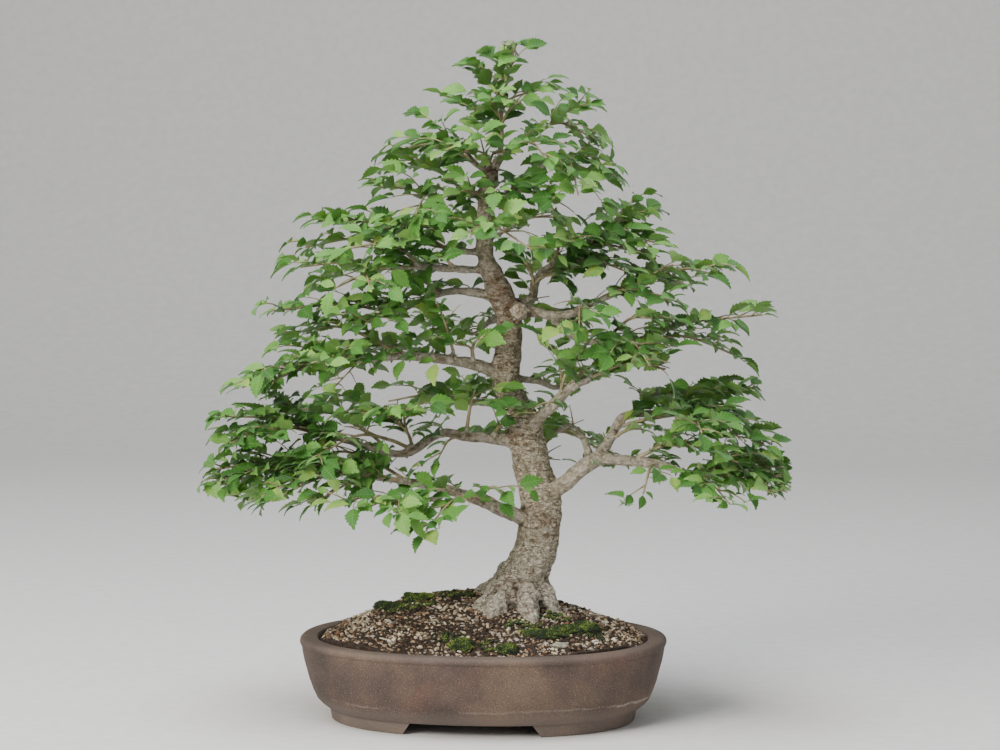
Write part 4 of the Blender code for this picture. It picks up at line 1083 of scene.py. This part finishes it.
def make_pebble(stone):
    """The flat pale stone that lies in front of the trunk."""
    bm = bmesh.new()
    bmesh.ops.create_icosphere(bm, subdivisions=3, radius=1)
    for vertex in bm.verts:
        vertex.co *= waves(vertex.co, PEBBLE_WAVES, 1)
    bmesh.ops.scale(bm, vec=PEBBLE_HALVES, verts=bm.verts)
    bmesh.ops.rotate(bm, matrix=Matrix.Rotation(PEBBLE_TURN, 3, "Z"), verts=bm.verts)
    bmesh.ops.translate(bm, vec=(*PEBBLE, soil_surface(*PEBBLE) + 1), verts=bm.verts)
    sharpen(bm, SOIL_CREASE)
    settle(bm, "flat_pebble", [stone])


def moss_stem():
    """One pointed stem of moss, 1 mm tall, with its foot in the dome."""
    bm = tinted()
    bmesh.ops.create_cone(bm, cap_ends=False, segments=3, radius1=STEM_RADIUS, radius2=0, depth=1)
    bmesh.ops.translate(bm, vec=(0, 0, 0.35), verts=bm.verts)
    return mesh_of(bm, "stem")


def grow_stems(bm, area, heights, draw):
    """Cover every face of a moss dome with stems, one on each patch of the given area."""
    stem = moss_stem()
    bm.normal_update()
    smooth(bm.faces)
    seats = []
    for face in bm.faces:
        if face.normal.z > -0.1:
            for _ in range(int(face.calc_area() / area + draw.random())):
                weights = sorted((draw.random(), draw.random()))
                shares = (weights[0], weights[1] - weights[0], 1 - weights[1])
                spot = sum((vertex.co * share for vertex, share in zip(face.verts, shares)), Vector())
                seats.append((spot, face.normal.copy()))
    for spot, normal in seats:
        lean = Vector((draw.gauss(0, STEM_LEAN), draw.gauss(0, STEM_LEAN), 0.3))
        turn = (normal + lean).normalized().to_track_quat("Z", "Y").to_matrix().to_4x4()
        thick = draw.uniform(*STEM_WIDTHS)
        size = Matrix.Diagonal((thick, thick, draw.uniform(*heights), 1))
        spin = Matrix.Rotation(draw.uniform(0, math.tau), 4, "Z")
        place = Matrix.Translation(spot) @ turn @ spin @ size
        add_copy(bm, stem, place, draw.uniform(*STEM_TINTS))


def make_moss(name, pads, moss):
    """A moss cushion: low lumpy domes covered all over in small pointed stems."""
    bm = tinted()
    for x, y, length, width, height in pads:
        foot = soil_height(x, y)
        dome = bmesh.ops.create_icosphere(bm, subdivisions=4, radius=1)["verts"]
        bmesh.ops.scale(bm, vec=(length, width, height), verts=dome)
        bmesh.ops.translate(bm, vec=(x, y, foot - 0.5), verts=dome)
        for vertex in dome:
            away = vertex.co - Vector((x, y, foot))
            vertex.co += away * (waves(vertex.co, MOSS_WAVES) - MOSS_SHRINK)
    grow_stems(bm, MOSS_STEM_AREA, MOSS_STEM_HEIGHTS, random.Random(name))
    settle(bm, name + "_cushion", [moss], [name])


def make_moss_film(moss):
    """Thin young moss between the grains of grit, in ragged patches."""
    draw = random.Random("moss film")
    bm = tinted()
    for x, y, length, width in MOSS_FILM:
        for _ in range(round(length * width * FILM_TUFTS)):
            across, along = draw.uniform(-1, 1), draw.uniform(-1, 1)
            spot = Vector((x + along * length, y + across * width, 0))
            ragged = waves(spot, FILM_WAVES)
            if along ** 2 + across ** 2 > FILM_REACH + ragged or ragged < FILM_THIN:
                continue
            tuft = bmesh.ops.create_icosphere(bm, subdivisions=1, radius=1)["verts"]
            size = draw.uniform(*FILM_TUFT_SIZES)
            bmesh.ops.scale(bm, vec=(size, size, size * 0.7), verts=tuft)
            place = (spot.x, spot.y, soil_surface(spot.x, spot.y) + 0.9)
            bmesh.ops.translate(bm, vec=place, verts=tuft)
    grow_stems(bm, FILM_STEM_AREA, FILM_STEM_HEIGHTS, draw)
    settle(bm, "moss_film", [moss])


def limb_route(name):
    """The route of a limb, or of the trunk."""
    return TRUNK if name == "trunk" else LIMBS[name]


def shoot_start(carrier, index, tips):
    """Where a shoot leaves the wood, its heading, and whether it needs a spur to stand on."""
    route = limb_route(carrier)
    x, y, z, radius = route[index]
    point = Vector((x, y, z))
    if index == len(route) - 1:
        heading = (point - Vector(route[index - 1][:3])).normalized()
        return point, heading, False
    middle = sum((Vector(tip) for tip in tips), Vector()) / len(tips)
    heading = (middle - point).normalized()
    heading = (heading + UP * SPUR_RISE).normalized()
    return point + heading * (radius + SPUR_LENGTH), heading, True


def twig_route(start, heading, tip, key, first):
    """Points of one twig: it leaves straight off the wood, arches over and tapers to its tip."""
    draw = random.Random(key)
    end = Vector(tip)
    length = (end - start).length
    bend = start + heading * TWIG_BEND * length
    side = (end - start).cross(UP)
    side = side.normalized() if side.length > 1 else Vector((1, 0, 0))
    lift = Vector((0, 0, TWIG_ARCH * length))
    lift += side * draw.uniform(-TWIG_SWAY, TWIG_SWAY) * length
    thick = TWIG_RADIUS if first else FORK_THINNING * TWIG_RADIUS
    if first:
        route = [(*start, thick), (*(start + heading * TWIG_RUN * length), 0.9 * thick)]
    else:
        route = [(*(start + heading * FORK_START * length), thick)]
    for step in TWIG_STEPS if first else FORK_STEPS:
        point = start.lerp(bend, step).lerp(bend.lerp(end, step), step)
        point += lift * 4 * step * (1 - step)
        route.append((*point, thick + (TWIG_TIP_RADIUS - thick) * step))
    return route


def smooth_route(route, step):
    """A route with points about a step apart on a smooth curve through its own points."""
    points = [Vector(point) for point in route]
    padded = [2 * points[0] - points[1]] + points + [2 * points[-1] - points[-2]]
    result = []
    for index in range(1, len(padded) - 2):
        before, start, end, after = padded[index - 1:index + 3]
        count = max(1, round((end - start).to_3d().length / step))
        for number in range(count):
            t = number / count
            result.append(0.5 * (2 * start + (end - before) * t
                                 + (2 * before - 5 * start + 4 * end - after) * t ** 2
                                 + (3 * start - before - 3 * end + after) * t ** 3))
    result.append(points[-1])
    return result


def tubes(name, routes, sides):
    """One mesh with a closed tapering tube along each route of (x, y, z, radius)."""
    curve = bpy.data.curves.new(name, "CURVE")
    curve.dimensions = "3D"
    curve.fill_mode = "FULL"
    curve.bevel_depth = 1
    curve.bevel_resolution = (sides - 4) // 2
    curve.use_fill_caps = True
    for route in routes:
        spline = curve.splines.new("POLY")
        spline.points.add(len(route) - 1)
        for point, (x, y, z, radius) in zip(spline.points, route):
            point.co = (x, y, z, 1)
            point.radius = radius
    bm = bmesh_of(take(scratch(name, curve)))
    bmesh.ops.remove_doubles(bm, verts=bm.verts, dist=0.005)
    return mesh_of(bm, name)


def wood_routes():
    """Smooth routes of the trunk, the surface roots, the limbs with their collars, and spurs."""
    routes = [smooth_route(route, ROUTE_STEP) for route in (TRUNK, BURR, *ROOTS.values())]
    for route in LIMBS.values():
        path = smooth_route(route, ROUTE_STEP)
        for point, share in zip(path[1:], COLLAR):
            point[3] *= share
        routes.append(path)
    for carrier, index, tips in ALL_SHOOTS.values():
        end, _, spur = shoot_start(carrier, index, tips)
        if spur:
            root = Vector(limb_route(carrier)[index][:3])
            routes.append([Vector((*root.lerp(end, share), SPUR_RADIUS)) for share in (0, 0.5, 1)])
    return routes


def girth_finder(routes):
    """What tells how thick the wood is near a spot, from the points of its routes."""
    points = [point for route in routes for point in route]
    tree = KDTree(len(points))
    for index, point in enumerate(points):
        tree.insert(point.to_3d(), index)
    tree.balance()

    def girth_at(spot):
        """The radius of the wood at a spot, mostly that of the nearest point."""
        total = weights = 0
        for _, index, distance in tree.find_n(spot, GIRTH_POINTS):
            radius = points[index][3]
            weight = 1 / (max(distance - radius, 0) + 1) ** 3
            total += weight * radius
            weights += weight
        return total / weights

    return girth_at


def mark_hollows(bm):
    """Store how deep each point lies in a hollow, from 0 to 1, and below 0 on a ridge, for the bark's
    painted shade in the hollows and painted highlight on the ridges.
    """
    hollow = bm.verts.layers.float.new("hollow")
    bm.normal_update()
    places = [(vertex, vertex.co.copy(), vertex.normal.copy()) for vertex in bm.verts]
    relax(bm, HOLLOW_PASSES)
    for vertex, place, normal in places:
        vertex[hollow] = max(-1, min(1, (vertex.co - place).dot(normal) / HOLLOW_DEPTH))
        vertex.co = place


def scar_at(spot):
    """How bare the wood is at a spot: 0 under sound bark, 1 where it is all gone."""
    bare = 0
    for x, y, z, reach in SCARS:
        far = (spot - Vector((x, y, z))).length / reach
        far *= 1 + 0.5 * noise.noise(spot * 0.22)
        bare = max(bare, min(1, 2.2 - 2 * far))
    return bare


def bark_rise(spot, radius, bare):
    """How far the bark rises or sinks at a spot: wrinkles, lumps, knots and the flare's folds."""
    wrinkle = waves(stretched(spot, WRINKLE_RATES), BARK_WRINKLES)
    rise = min(1, radius / STOUT_WOOD) * WRINKLE_DEPTH * wrinkle
    rise += LUMP_DEPTH * min(1, radius / THIN_WOOD) * waves(spot, BARK_LUMPS)
    # knots where old buds and twigs were
    rise += KNOT_DEPTH * min(radius, KNOT_WOOD) * noise.noise(spot * KNOT_RATE)
    rise += bare * SCAR_DEPTH * noise.noise(spot * SCAR_RATE)
    # gnarled folds on the flare, strongest at the soil
    flare = min(1, max(0, (FLARE_TOP - spot.z) / FLARE_DEPTH))
    ridge = 1 - 3.4 * abs(noise.noise(stretched(spot, RIDGE_RATES)))
    wrap = 1 - 3 * abs(noise.noise(stretched(spot, WRAP_RATES)))
    return rise + flare * (RIDGE_DEPTH * ridge + WRAP_DEPTH * wrap)


def make_wood(bark):
    """Trunk, surface roots and limbs under one skin of bark, with its folds and wrinkles."""
    routes = wood_routes()
    core = scratch("wood", tubes("wood", routes, WOOD_SIDES))
    remesh = core.modifiers.new("skin", "REMESH")
    remesh.mode = "VOXEL"
    remesh.voxel_size = SKIN_VOXEL
    bm = bmesh_of(take(core))
    relax(bm, SKIN_PASSES)
    bm.normal_update()
    girth_at = girth_finder(routes)
    girth = bm.verts.layers.float.new("girth")
    scar = bm.verts.layers.float.new("scar")
    moves = []
    for vertex in bm.verts:
        radius = girth_at(vertex.co)
        vertex[girth] = radius * MM
        vertex[scar] = scar_at(vertex.co)
        moves.append(vertex.normal * bark_rise(vertex.co, radius, vertex[scar]))
    for vertex, move in zip(bm.verts, moves):
        vertex.co += move
    mark_hollows(bm)
    smooth(bm.faces)
    return settle(bm, "trunk_and_limbs_bark", [bark], ["trunk_and_limbs"])


def blade_width(along):
    """Half the width of a leaf of unit length at a share of its length."""
    return along ** BASE_POWER * (1 - along) ** TIP_POWER


def blade_bmesh(kind, cells, toothed):
    """The upper face of a leaf of unit length, stalk included, folded, arched and curled."""
    fold, droop, curl, width, twist = kind
    bm = bmesh.new()
    bmesh.ops.create_grid(bm, x_segments=cells, y_segments=2, size=1)
    uv = bm.loops.layers.uv.new("blade")
    for vertex in bm.verts:
        column = round((vertex.co.x + 1) / 2 * cells)
        side = round(vertex.co.y)
        if column < STALK_CELLS:
            along = -STALK_LENGTH * (1 - column / STALK_CELLS)
            half = STALK_HALF_WIDTH
        else:
            share = (column - STALK_CELLS) / (cells - STALK_CELLS)
            along = share
            half = max(STALK_HALF_WIDTH, width * blade_width(share))
            tooth = toothed and (column - STALK_CELLS) % 2
            if tooth and TOOTHED_FROM < share < TOOTHED_TO:
                half += TOOTH * (1.1 - share)
                along = share + TOOTH_LEAN if side else share
        if column == cells:
            half = 0
        across = side * half
        lift = BLADE_RISE * along - droop * max(along, 0) ** 2 - curl * max(along, 0) ** 4
        ripple = RIPPLE * math.sin(9 * along) * abs(side)
        height = fold * abs(across) + lift + ripple + twist * across * max(along, 0)
        vertex.co = (along, across, height)
    for face in bm.faces:
        for loop in face.loops:
            loop[uv].uv = (loop.vert.co.x, 0.5 + loop.vert.co.y)
    bmesh.ops.remove_doubles(bm, verts=bm.verts, dist=0.0001)
    return bm


def blade_mesh(number, kind):
    """A whole leaf: upper and lower face joined at the toothed edge."""
    bm = blade_bmesh(kind, BLADE_CELLS, True)
    bm.faces.layers.float.new("tint")
    under = bm.faces.layers.float.new("under")
    bmesh.ops.recalc_face_normals(bm, faces=bm.faces)
    if sum(face.normal.z for face in bm.faces) < 0:
        bmesh.ops.reverse_faces(bm, faces=bm.faces)
    rim = {vertex for vertex in bm.verts if vertex.is_boundary}
    lower = bmesh.ops.duplicate(bm, geom=bm.verts[:] + bm.edges[:] + bm.faces[:])
    copies = [part for part in lower["geom"] if isinstance(part, bmesh.types.BMFace)]
    bmesh.ops.reverse_faces(bm, faces=copies)
    source = lower["vert_map"]
    for face in copies:
        face[under] = 1.0
    for vertex in {vertex for face in copies for vertex in face.verts}:
        if source[vertex] not in rim:
            vertex.co.z -= BLADE_THICKNESS
    bmesh.ops.remove_doubles(bm, verts=bm.verts, dist=0.0002)
    smooth(bm.faces)
    for edge in bm.edges:
        edge.smooth = len({round(face[under]) for face in edge.link_faces}) == 1
    return mesh_of(bm, f"blade_{number}")


def leaf_frame(point, along, side, key, dodge):
    """The place of one leaf: stalk at the twig, blade facing up and outwards from the tree."""
    draw = random.Random(key)
    outward = Vector((point.x - CROWN_MIDDLE, point.y * CROWN_DEPTH, 0))
    outward = outward.normalized() if outward.length > 1 else Vector((0, -1, 0))
    across = along.cross(UP)
    across = across.normalized() if across.length > 0.2 else outward
    rise = draw.uniform(*LEAF_PITCH)
    if side:
        heading = along * LEAF_ALONG + across * side * LEAF_ACROSS + UP * (LEAF_RISE + rise)
    else:
        heading = along + UP * (rise - TIP_LEAF_FALL)
        if along.z > STEEP_TWIG:
            heading += outward
    heading.normalize()
    size = LEAF_LENGTH * between(LEAF_SIZES, draw.random() ** SIZE_POWER)
    roll = draw.uniform(-LEAF_ROLL, LEAF_ROLL)
    yaw, pitch = dodge
    heading.rotate(Matrix.Rotation(math.radians(yaw), 3, "Z"))
    width = (UP * FACE_UP + outward * FACE_OUT).cross(heading).normalized()
    heading.rotate(Matrix.Rotation(math.radians(pitch), 3, width))
    normal = heading.cross(width).normalized()
    turn = Matrix.Rotation(roll, 3, heading)
    basis = Matrix((heading, turn @ width, turn @ normal)).transposed().to_4x4()
    stalk = heading * STALK_LENGTH * size
    return Matrix.Translation(point + stalk) @ basis @ Matrix.Scale(size, 4)


def between(ends, share):
    """The value at a share of the way between two."""
    return ends[0] + (ends[1] - ends[0]) * share


def point_along(route, distance):
    """The point at a distance from the end of a route, and the route's direction there."""
    for index in range(len(route) - 1, 0, -1):
        here = route[index].to_3d()
        before = route[index - 1].to_3d()
        span = (here - before).length
        if distance <= span or index == 1:
            return here.lerp(before, min(distance / max(span, 0.01), 1)), (here - before).normalized()
        distance -= span
    return None


def route_length(route):
    """The length of a route."""
    return sum((after - before).to_3d().length for before, after in zip(route, route[1:]))


def side_twig(point, along, side, length, key):
    """A short side twig: forwards and sideways off the shoot, rising a little and then level."""
    draw = random.Random(key)
    across = along.cross(UP)
    across = across.normalized() if across.length > 0.2 else Vector((draw.choice((-1, 1)), 0, 0))
    heading = along * draw.uniform(*SIDE_TWIG_SPREAD)
    heading += across * side * draw.uniform(*SIDE_TWIG_SPREAD)
    heading = (heading + UP * draw.uniform(*SIDE_TWIG_RISE)).normalized()
    sag = UP * draw.uniform(*SIDE_TWIG_SAG) * length
    middle = point + heading * 0.55 * length + sag * 0.5
    end = point + heading * length - sag * 0.6
    ends = [(*spot, SIDE_TWIG_RADIUS * share)
            for spot, share in zip((point, middle, end), SIDE_TWIG_TAPER)]
    return [spot for spot in smooth_route(ends, SIDE_TWIG_STEP)
            if inside_box([spot]) and in_outline([spot.to_3d()])]


def leaf_seats(route, key, skip):
    """Where the leaves of a twig stand, from its tip back: point, direction and side."""
    draw = random.Random(key + " leaves")
    side = draw.choice((-1, 1))
    seats = [(*point_along(route, TIP_LEAF), 0)]
    distance = LEAF_GAP * FIRST_LEAF
    length = route_length(route) - skip
    while distance < length:
        seats.append((*point_along(route, distance), side))
        side = -side
        distance += LEAF_GAP * draw.uniform(0.8, 1.25)
    return seats


def inside_box(corners):
    """Whether all corners lie in the frame's box."""
    return all(low < value < high for corner in corners
               for low, value, high in zip(LOWEST, corner, HIGHEST))


def seen(point):
    """Where a point shows from the front, on the upright plane through the pot's middle."""
    ray = point - EYE
    spot = EYE - ray * (EYE.dot(LEVEL) / ray.dot(LEVEL))
    return spot.x, spot.z


def crown_reach(z):
    """How far left and right the crown reaches at a height, seen from the front."""
    for (top, *above), (bottom, *below) in zip(OUTLINE, OUTLINE[1:]):
        if z > bottom:
            share = max(0, (top - z) / (top - bottom))
            return [between(ends, share) for ends in zip(above, below)]
    return OUTLINE[-1][1:]


def in_outline(points):
    """Whether all points lie within the crown's outline seen from the front."""
    for x, z in map(seen, points):
        left, right = crown_reach(z)
        if not left - OUTLINE_SLACK < x < right + OUTLINE_SLACK:
            return False
    return True


def in_gap(points):
    """Whether any point lies in one of the gaps pruned open."""
    for x, z in map(seen, points):
        for middle_x, middle_z, half_length, half_width, tilt in GAPS:
            if abs(x - middle_x) < half_length and abs(z - middle_z) < half_length:
                turn = math.radians(tilt)
                along = (x - middle_x) * math.cos(turn) + (z - middle_z) * math.sin(turn)
                across = (z - middle_z) * math.cos(turn) - (x - middle_x) * math.sin(turn)
                if (along / half_length) ** 2 + (across / half_width) ** 2 < 1:
                    return True
    return False


def limb_lines():
    """The limbs kept in view, seen from the front: both ends of each stretch, depth and radius."""
    lines = []
    for name, count in IN_VIEW.items():
        for before, after in zip(LIMBS[name][:count], LIMBS[name][1:]):
            start, end = (Vector(seen(Vector(point[:3]))) for point in (before, after))
            lines.append((start, end, min(before[1], after[1]), max(before[3], after[3])))
    return lines


LIMB_LINES = limb_lines()


def hides_limb(points):
    """Whether any point lies in front of a limb kept in view."""
    for point in points:
        spot = Vector(seen(point))
        for start, end, depth, radius in LIMB_LINES:
            if point.y < depth:
                run = end - start
                share = min(1, max(0, (spot - start).dot(run) / run.length_squared))
                if (start + run * share - spot).length < radius + VIEW_MARGIN:
                    return True
    return False


def guard_of(kind):
    """A coarse blade for tests of what it touches: its corners and faces."""
    bm = blade_bmesh(kind, GUARD_CELLS, False)
    stalk = [vertex for vertex in bm.verts if vertex.co.x < 0.04]
    bmesh.ops.delete(bm, geom=stalk, context="VERTS")
    corners = [vertex.co.copy() for vertex in bm.verts]
    bm.verts.index_update()
    faces = [[vertex.index for vertex in face.verts] for face in bm.faces]
    bm.free()
    return corners, faces


def touch_tree(mesh, back=Matrix()):
    """A mesh in millimetres, ready for tests of what touches it."""
    corners = [back @ vertex.co for vertex in mesh.vertices]
    return BVHTree.FromPolygons(corners, [tuple(polygon.vertices) for polygon in mesh.polygons])


class Crown:
    """The leaves placed so far and what they keep off: the wood and the other shoots' twigs."""

    def __init__(self, wood, twigs):
        self.wood = wood
        self.twigs = twigs
        self.cells = {}
        self.guards = [guard_of(kind) for kind in BLADE_KINDS]

    def near(self, cell):
        """The leaves in a cell of the crown and in those round it."""
        found = []
        for step in itertools.product((-1, 0, 1), repeat=3):
            found += self.cells.get(tuple(map(sum, zip(cell, step))), [])
        return found

    def seat(self, owner, point, along, side, key):
        """Find room for a leaf: its kind and place, or nothing."""
        kind = random.Random(key + " kind").randrange(len(BLADE_KINDS))
        keeps_clear = random.Random(key + " view").random() < VIEW_SHARE
        corners, faces = self.guards[kind]
        others = [self.wood] + [twig for name, twig in self.twigs.items() if name != owner]
        for dodge in DODGES:
            place = leaf_frame(point, along, side, key, dodge)
            spots = [place @ corner for corner in corners]
            marks = [place @ Vector(mark) for mark in BLADE_MARKS]
            if not inside_box(spots) or not in_outline(marks) or in_gap(marks):
                continue
            if keeps_clear and hides_limb(marks):
                continue
            tree = BVHTree.FromPolygons(spots, faces)
            cell = tuple(round(value / LEAF_LENGTH) for value in marks[0])
            if not any(tree.overlap(other) for other in self.near(cell) + others):
                self.cells.setdefault(cell, []).append(tree)
                return kind, place
        return None


def leafy_piece(name, routes, leaves, blades, materials, replaced):
    """One shoot: its twigs and leaves in one mesh."""
    bm = tinted()
    bm.faces.layers.float.new("under")
    bm.loops.layers.uv.new("blade")
    for kind, place, tint in leaves:
        add_copy(bm, blades[kind], place, tint)
    leaf_faces = len(bm.faces)
    bm.from_mesh(tubes(name, routes, 5))
    bm.faces.ensure_lookup_table()
    rind = bm.faces[leaf_faces:]
    smooth(rind)
    for face in rind:
        face.material_index = 1
    settle(bm, name, materials, replaced)


def main_twigs(name, carrier, index, tips):
    """The twigs of a shoot, which fork where they leave the wood."""
    end, heading, _ = shoot_start(carrier, index, tips)
    start = end + heading * CLEARANCE
    mains = [smooth_route(twig_route(start, heading, tip, f"{name} {number}", number == 0),
                          TWIG_STEP)
             for number, tip in enumerate(tips)]
    mains[0].insert(0, Vector((*(start - heading * 2 * CLEARANCE), TWIG_RADIUS)))
    return mains


def side_twigs(name, mains):
    """Side twigs by turns left and right along a shoot's twigs, shorter towards their tips."""
    sides = []
    for number, route in enumerate(mains):
        draw = random.Random(f"{name} {number} sides")
        length = route_length(route)
        distance = draw.uniform(*FIRST_SIDE_TWIG) * SIDE_TWIG_GAP
        side = draw.choice((-1, 1))
        while distance < length - SIDE_TWIG_START:
            long = between(SIDE_TWIG_LENGTHS, 1 - distance / length) * draw.uniform(0.75, 1.2)
            sides.append(side_twig(*point_along(route, distance), side, long,
                                   f"{name} {number} {len(sides)}"))
            side = -side
            distance += SIDE_TWIG_GAP * draw.uniform(0.8, 1.2)
    return [route for route in sides if len(route) > 1]


def limb_spurs(name, route):
    """Short leafy spurs along a limb, but not near its start."""
    path = smooth_route(route, ROUTE_STEP)
    draw = random.Random(name + " spurs")
    length = route_length(path)
    bare = LIMB_SPUR_START * (SHORT_LIMB_SHARE if length < SHORT_LIMB else 1)
    distance = LIMB_SPUR_END
    sides = []
    while distance < length - bare:
        side, long = draw.choice((-1, 1)), draw.uniform(*LIMB_SPUR_LENGTHS) + LIMB_SPUR_ROOT
        sides.append(side_twig(*point_along(path, distance), side, long,
                               f"{name} spur {len(sides)}"))
        distance += LIMB_SPUR_GAP * draw.uniform(0.7, 1.3)
    return [route for route in sides if len(route) > 1]


def make_crown(bark_piece, leaf, twig):
    """All leafy shoots, and the short leafy spurs along the limbs."""
    shoots = {}
    for name, shoot in ALL_SHOOTS.items():
        mains = main_twigs(name, *shoot)
        replaced = ["shoot_" + name] if name in SHOOTS else []
        shoots["shoot_" + name] = (mains, side_twigs(name, mains), replaced)
    for name, route in (LIMBS | {"trunk": TRUNK[TRUNK_SPURS:]}).items():
        sides = limb_spurs(name, route)
        if sides and name != "old_leader":
            shoots["spurs_" + name] = ([], sides, [])

    wood = touch_tree(bark_piece.data, TO_FRAME.inverted())
    crown = Crown(wood, {name: touch_tree(tubes(name, mains, 4))
                         for name, (mains, _, _) in shoots.items() if mains})
    blades = [blade_mesh(number, kind) for number, kind in enumerate(BLADE_KINDS)]
    for name, (mains, sides, replaced) in shoots.items():
        leaves = []
        leafy = list(mains)
        for number, route in enumerate(mains + sides):
            main = number < len(mains)
            before = len(leaves)
            bare = MAIN_BARE if main else SIDE_BARE
            seats = leaf_seats(route, f"{name} {number}", bare)
            for seat, (point, along, side) in enumerate(seats):
                key = f"{name} {number} {seat}"
                found = crown.seat(name, point, along, side, key)
                if found:
                    leaves.append((*found, random.Random(key + " tint").random()))
            # a side twig that found no room for a leaf is left out
            if not main and len(leaves) > before:
                leafy.append(route)
        if leafy:
            leafy_piece(name + "_leaves", leafy, leaves, blades, [leaf, twig], replaced)


def make_floor():
    """A pale floor that curves up behind."""
    bm = bmesh.new()
    rim = [bm.verts.new((-FLOOR_SIDE, FLOOR_FRONT, 0)), bm.verts.new((-FLOOR_SIDE, FLOOR_BACK, 0))]
    for number in range(1, FLOOR_STEPS + 1):
        turn = number / FLOOR_STEPS * math.pi / 2
        rim.append(bm.verts.new((-FLOOR_SIDE, FLOOR_BACK + FLOOR_CURVE * math.sin(turn),
                                 FLOOR_CURVE * (1 - math.cos(turn)))))
    rim.append(bm.verts.new((-FLOOR_SIDE, FLOOR_BACK + FLOOR_CURVE, FLOOR_TOP)))
    edges = [bm.edges.new(pair) for pair in zip(rim, rim[1:])]
    wide = bmesh.ops.extrude_edge_only(bm, edges=edges)["geom"]
    bmesh.ops.translate(bm, vec=(2 * FLOOR_SIDE, 0, 0),
                        verts=[part for part in wide if isinstance(part, bmesh.types.BMVert)])
    bmesh.ops.recalc_face_normals(bm, faces=bm.faces)
    if bm.faces[:][0].normal.z < 0:
        bmesh.ops.reverse_faces(bm, faces=bm.faces)
    smooth(bm.faces)
    mesh = mesh_of(bm, "floor")
    mesh.materials.append(paper_material())
    scratch("floor", mesh)


def make_stage():
    """The floor, soft lamps and the camera."""
    make_floor()
    world = bpy.data.worlds.new("studio")
    world.use_nodes = True
    feed(world.node_tree, world.node_tree.nodes["Background"],
         {"Color": linear("#e8ecf2"), "Strength": 0.34})
    bpy.context.scene.world = world
    for name, place, size, energy, colour in LAMPS:
        lamp = bpy.data.lights.new(name, "AREA")
        lamp.size = size
        lamp.energy = energy
        lamp.color = linear(colour)[:3]
        item = scratch(name, lamp)
        item.location = place
        item.rotation_euler = (LAMPS_AIM - item.location).to_track_quat("-Z", "Y").to_euler()

    camera = bpy.data.cameras.new("camera")
    camera.lens = LENS
    camera.clip_end = 30
    item = scratch("camera", camera)
    item.location = POT_MIDDLE + EYE * MM
    item.rotation_euler = BACK.to_track_quat("Z", "Y").to_euler()
    bpy.context.scene.camera = item


def main():
    """Dress the whole bonsai."""
    make_stage()
    make_pot(clay_material())
    make_soil(soil_material())
    make_grit(grit_material())
    make_pebble(stone_material())
    moss = moss_material()
    for name, pads in MOSS_PADS.items():
        make_moss(name, pads, moss)
    make_moss_film(moss)
    net = net_material()
    for side in ("left", "right"):
        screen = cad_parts["drain_screen_" + side]
        screen.data.materials.clear()
        screen.data.materials.append(net)
    bark_piece = make_wood(bark_material())
    make_crown(bark_piece, leaf_material(), twig_material())


main()
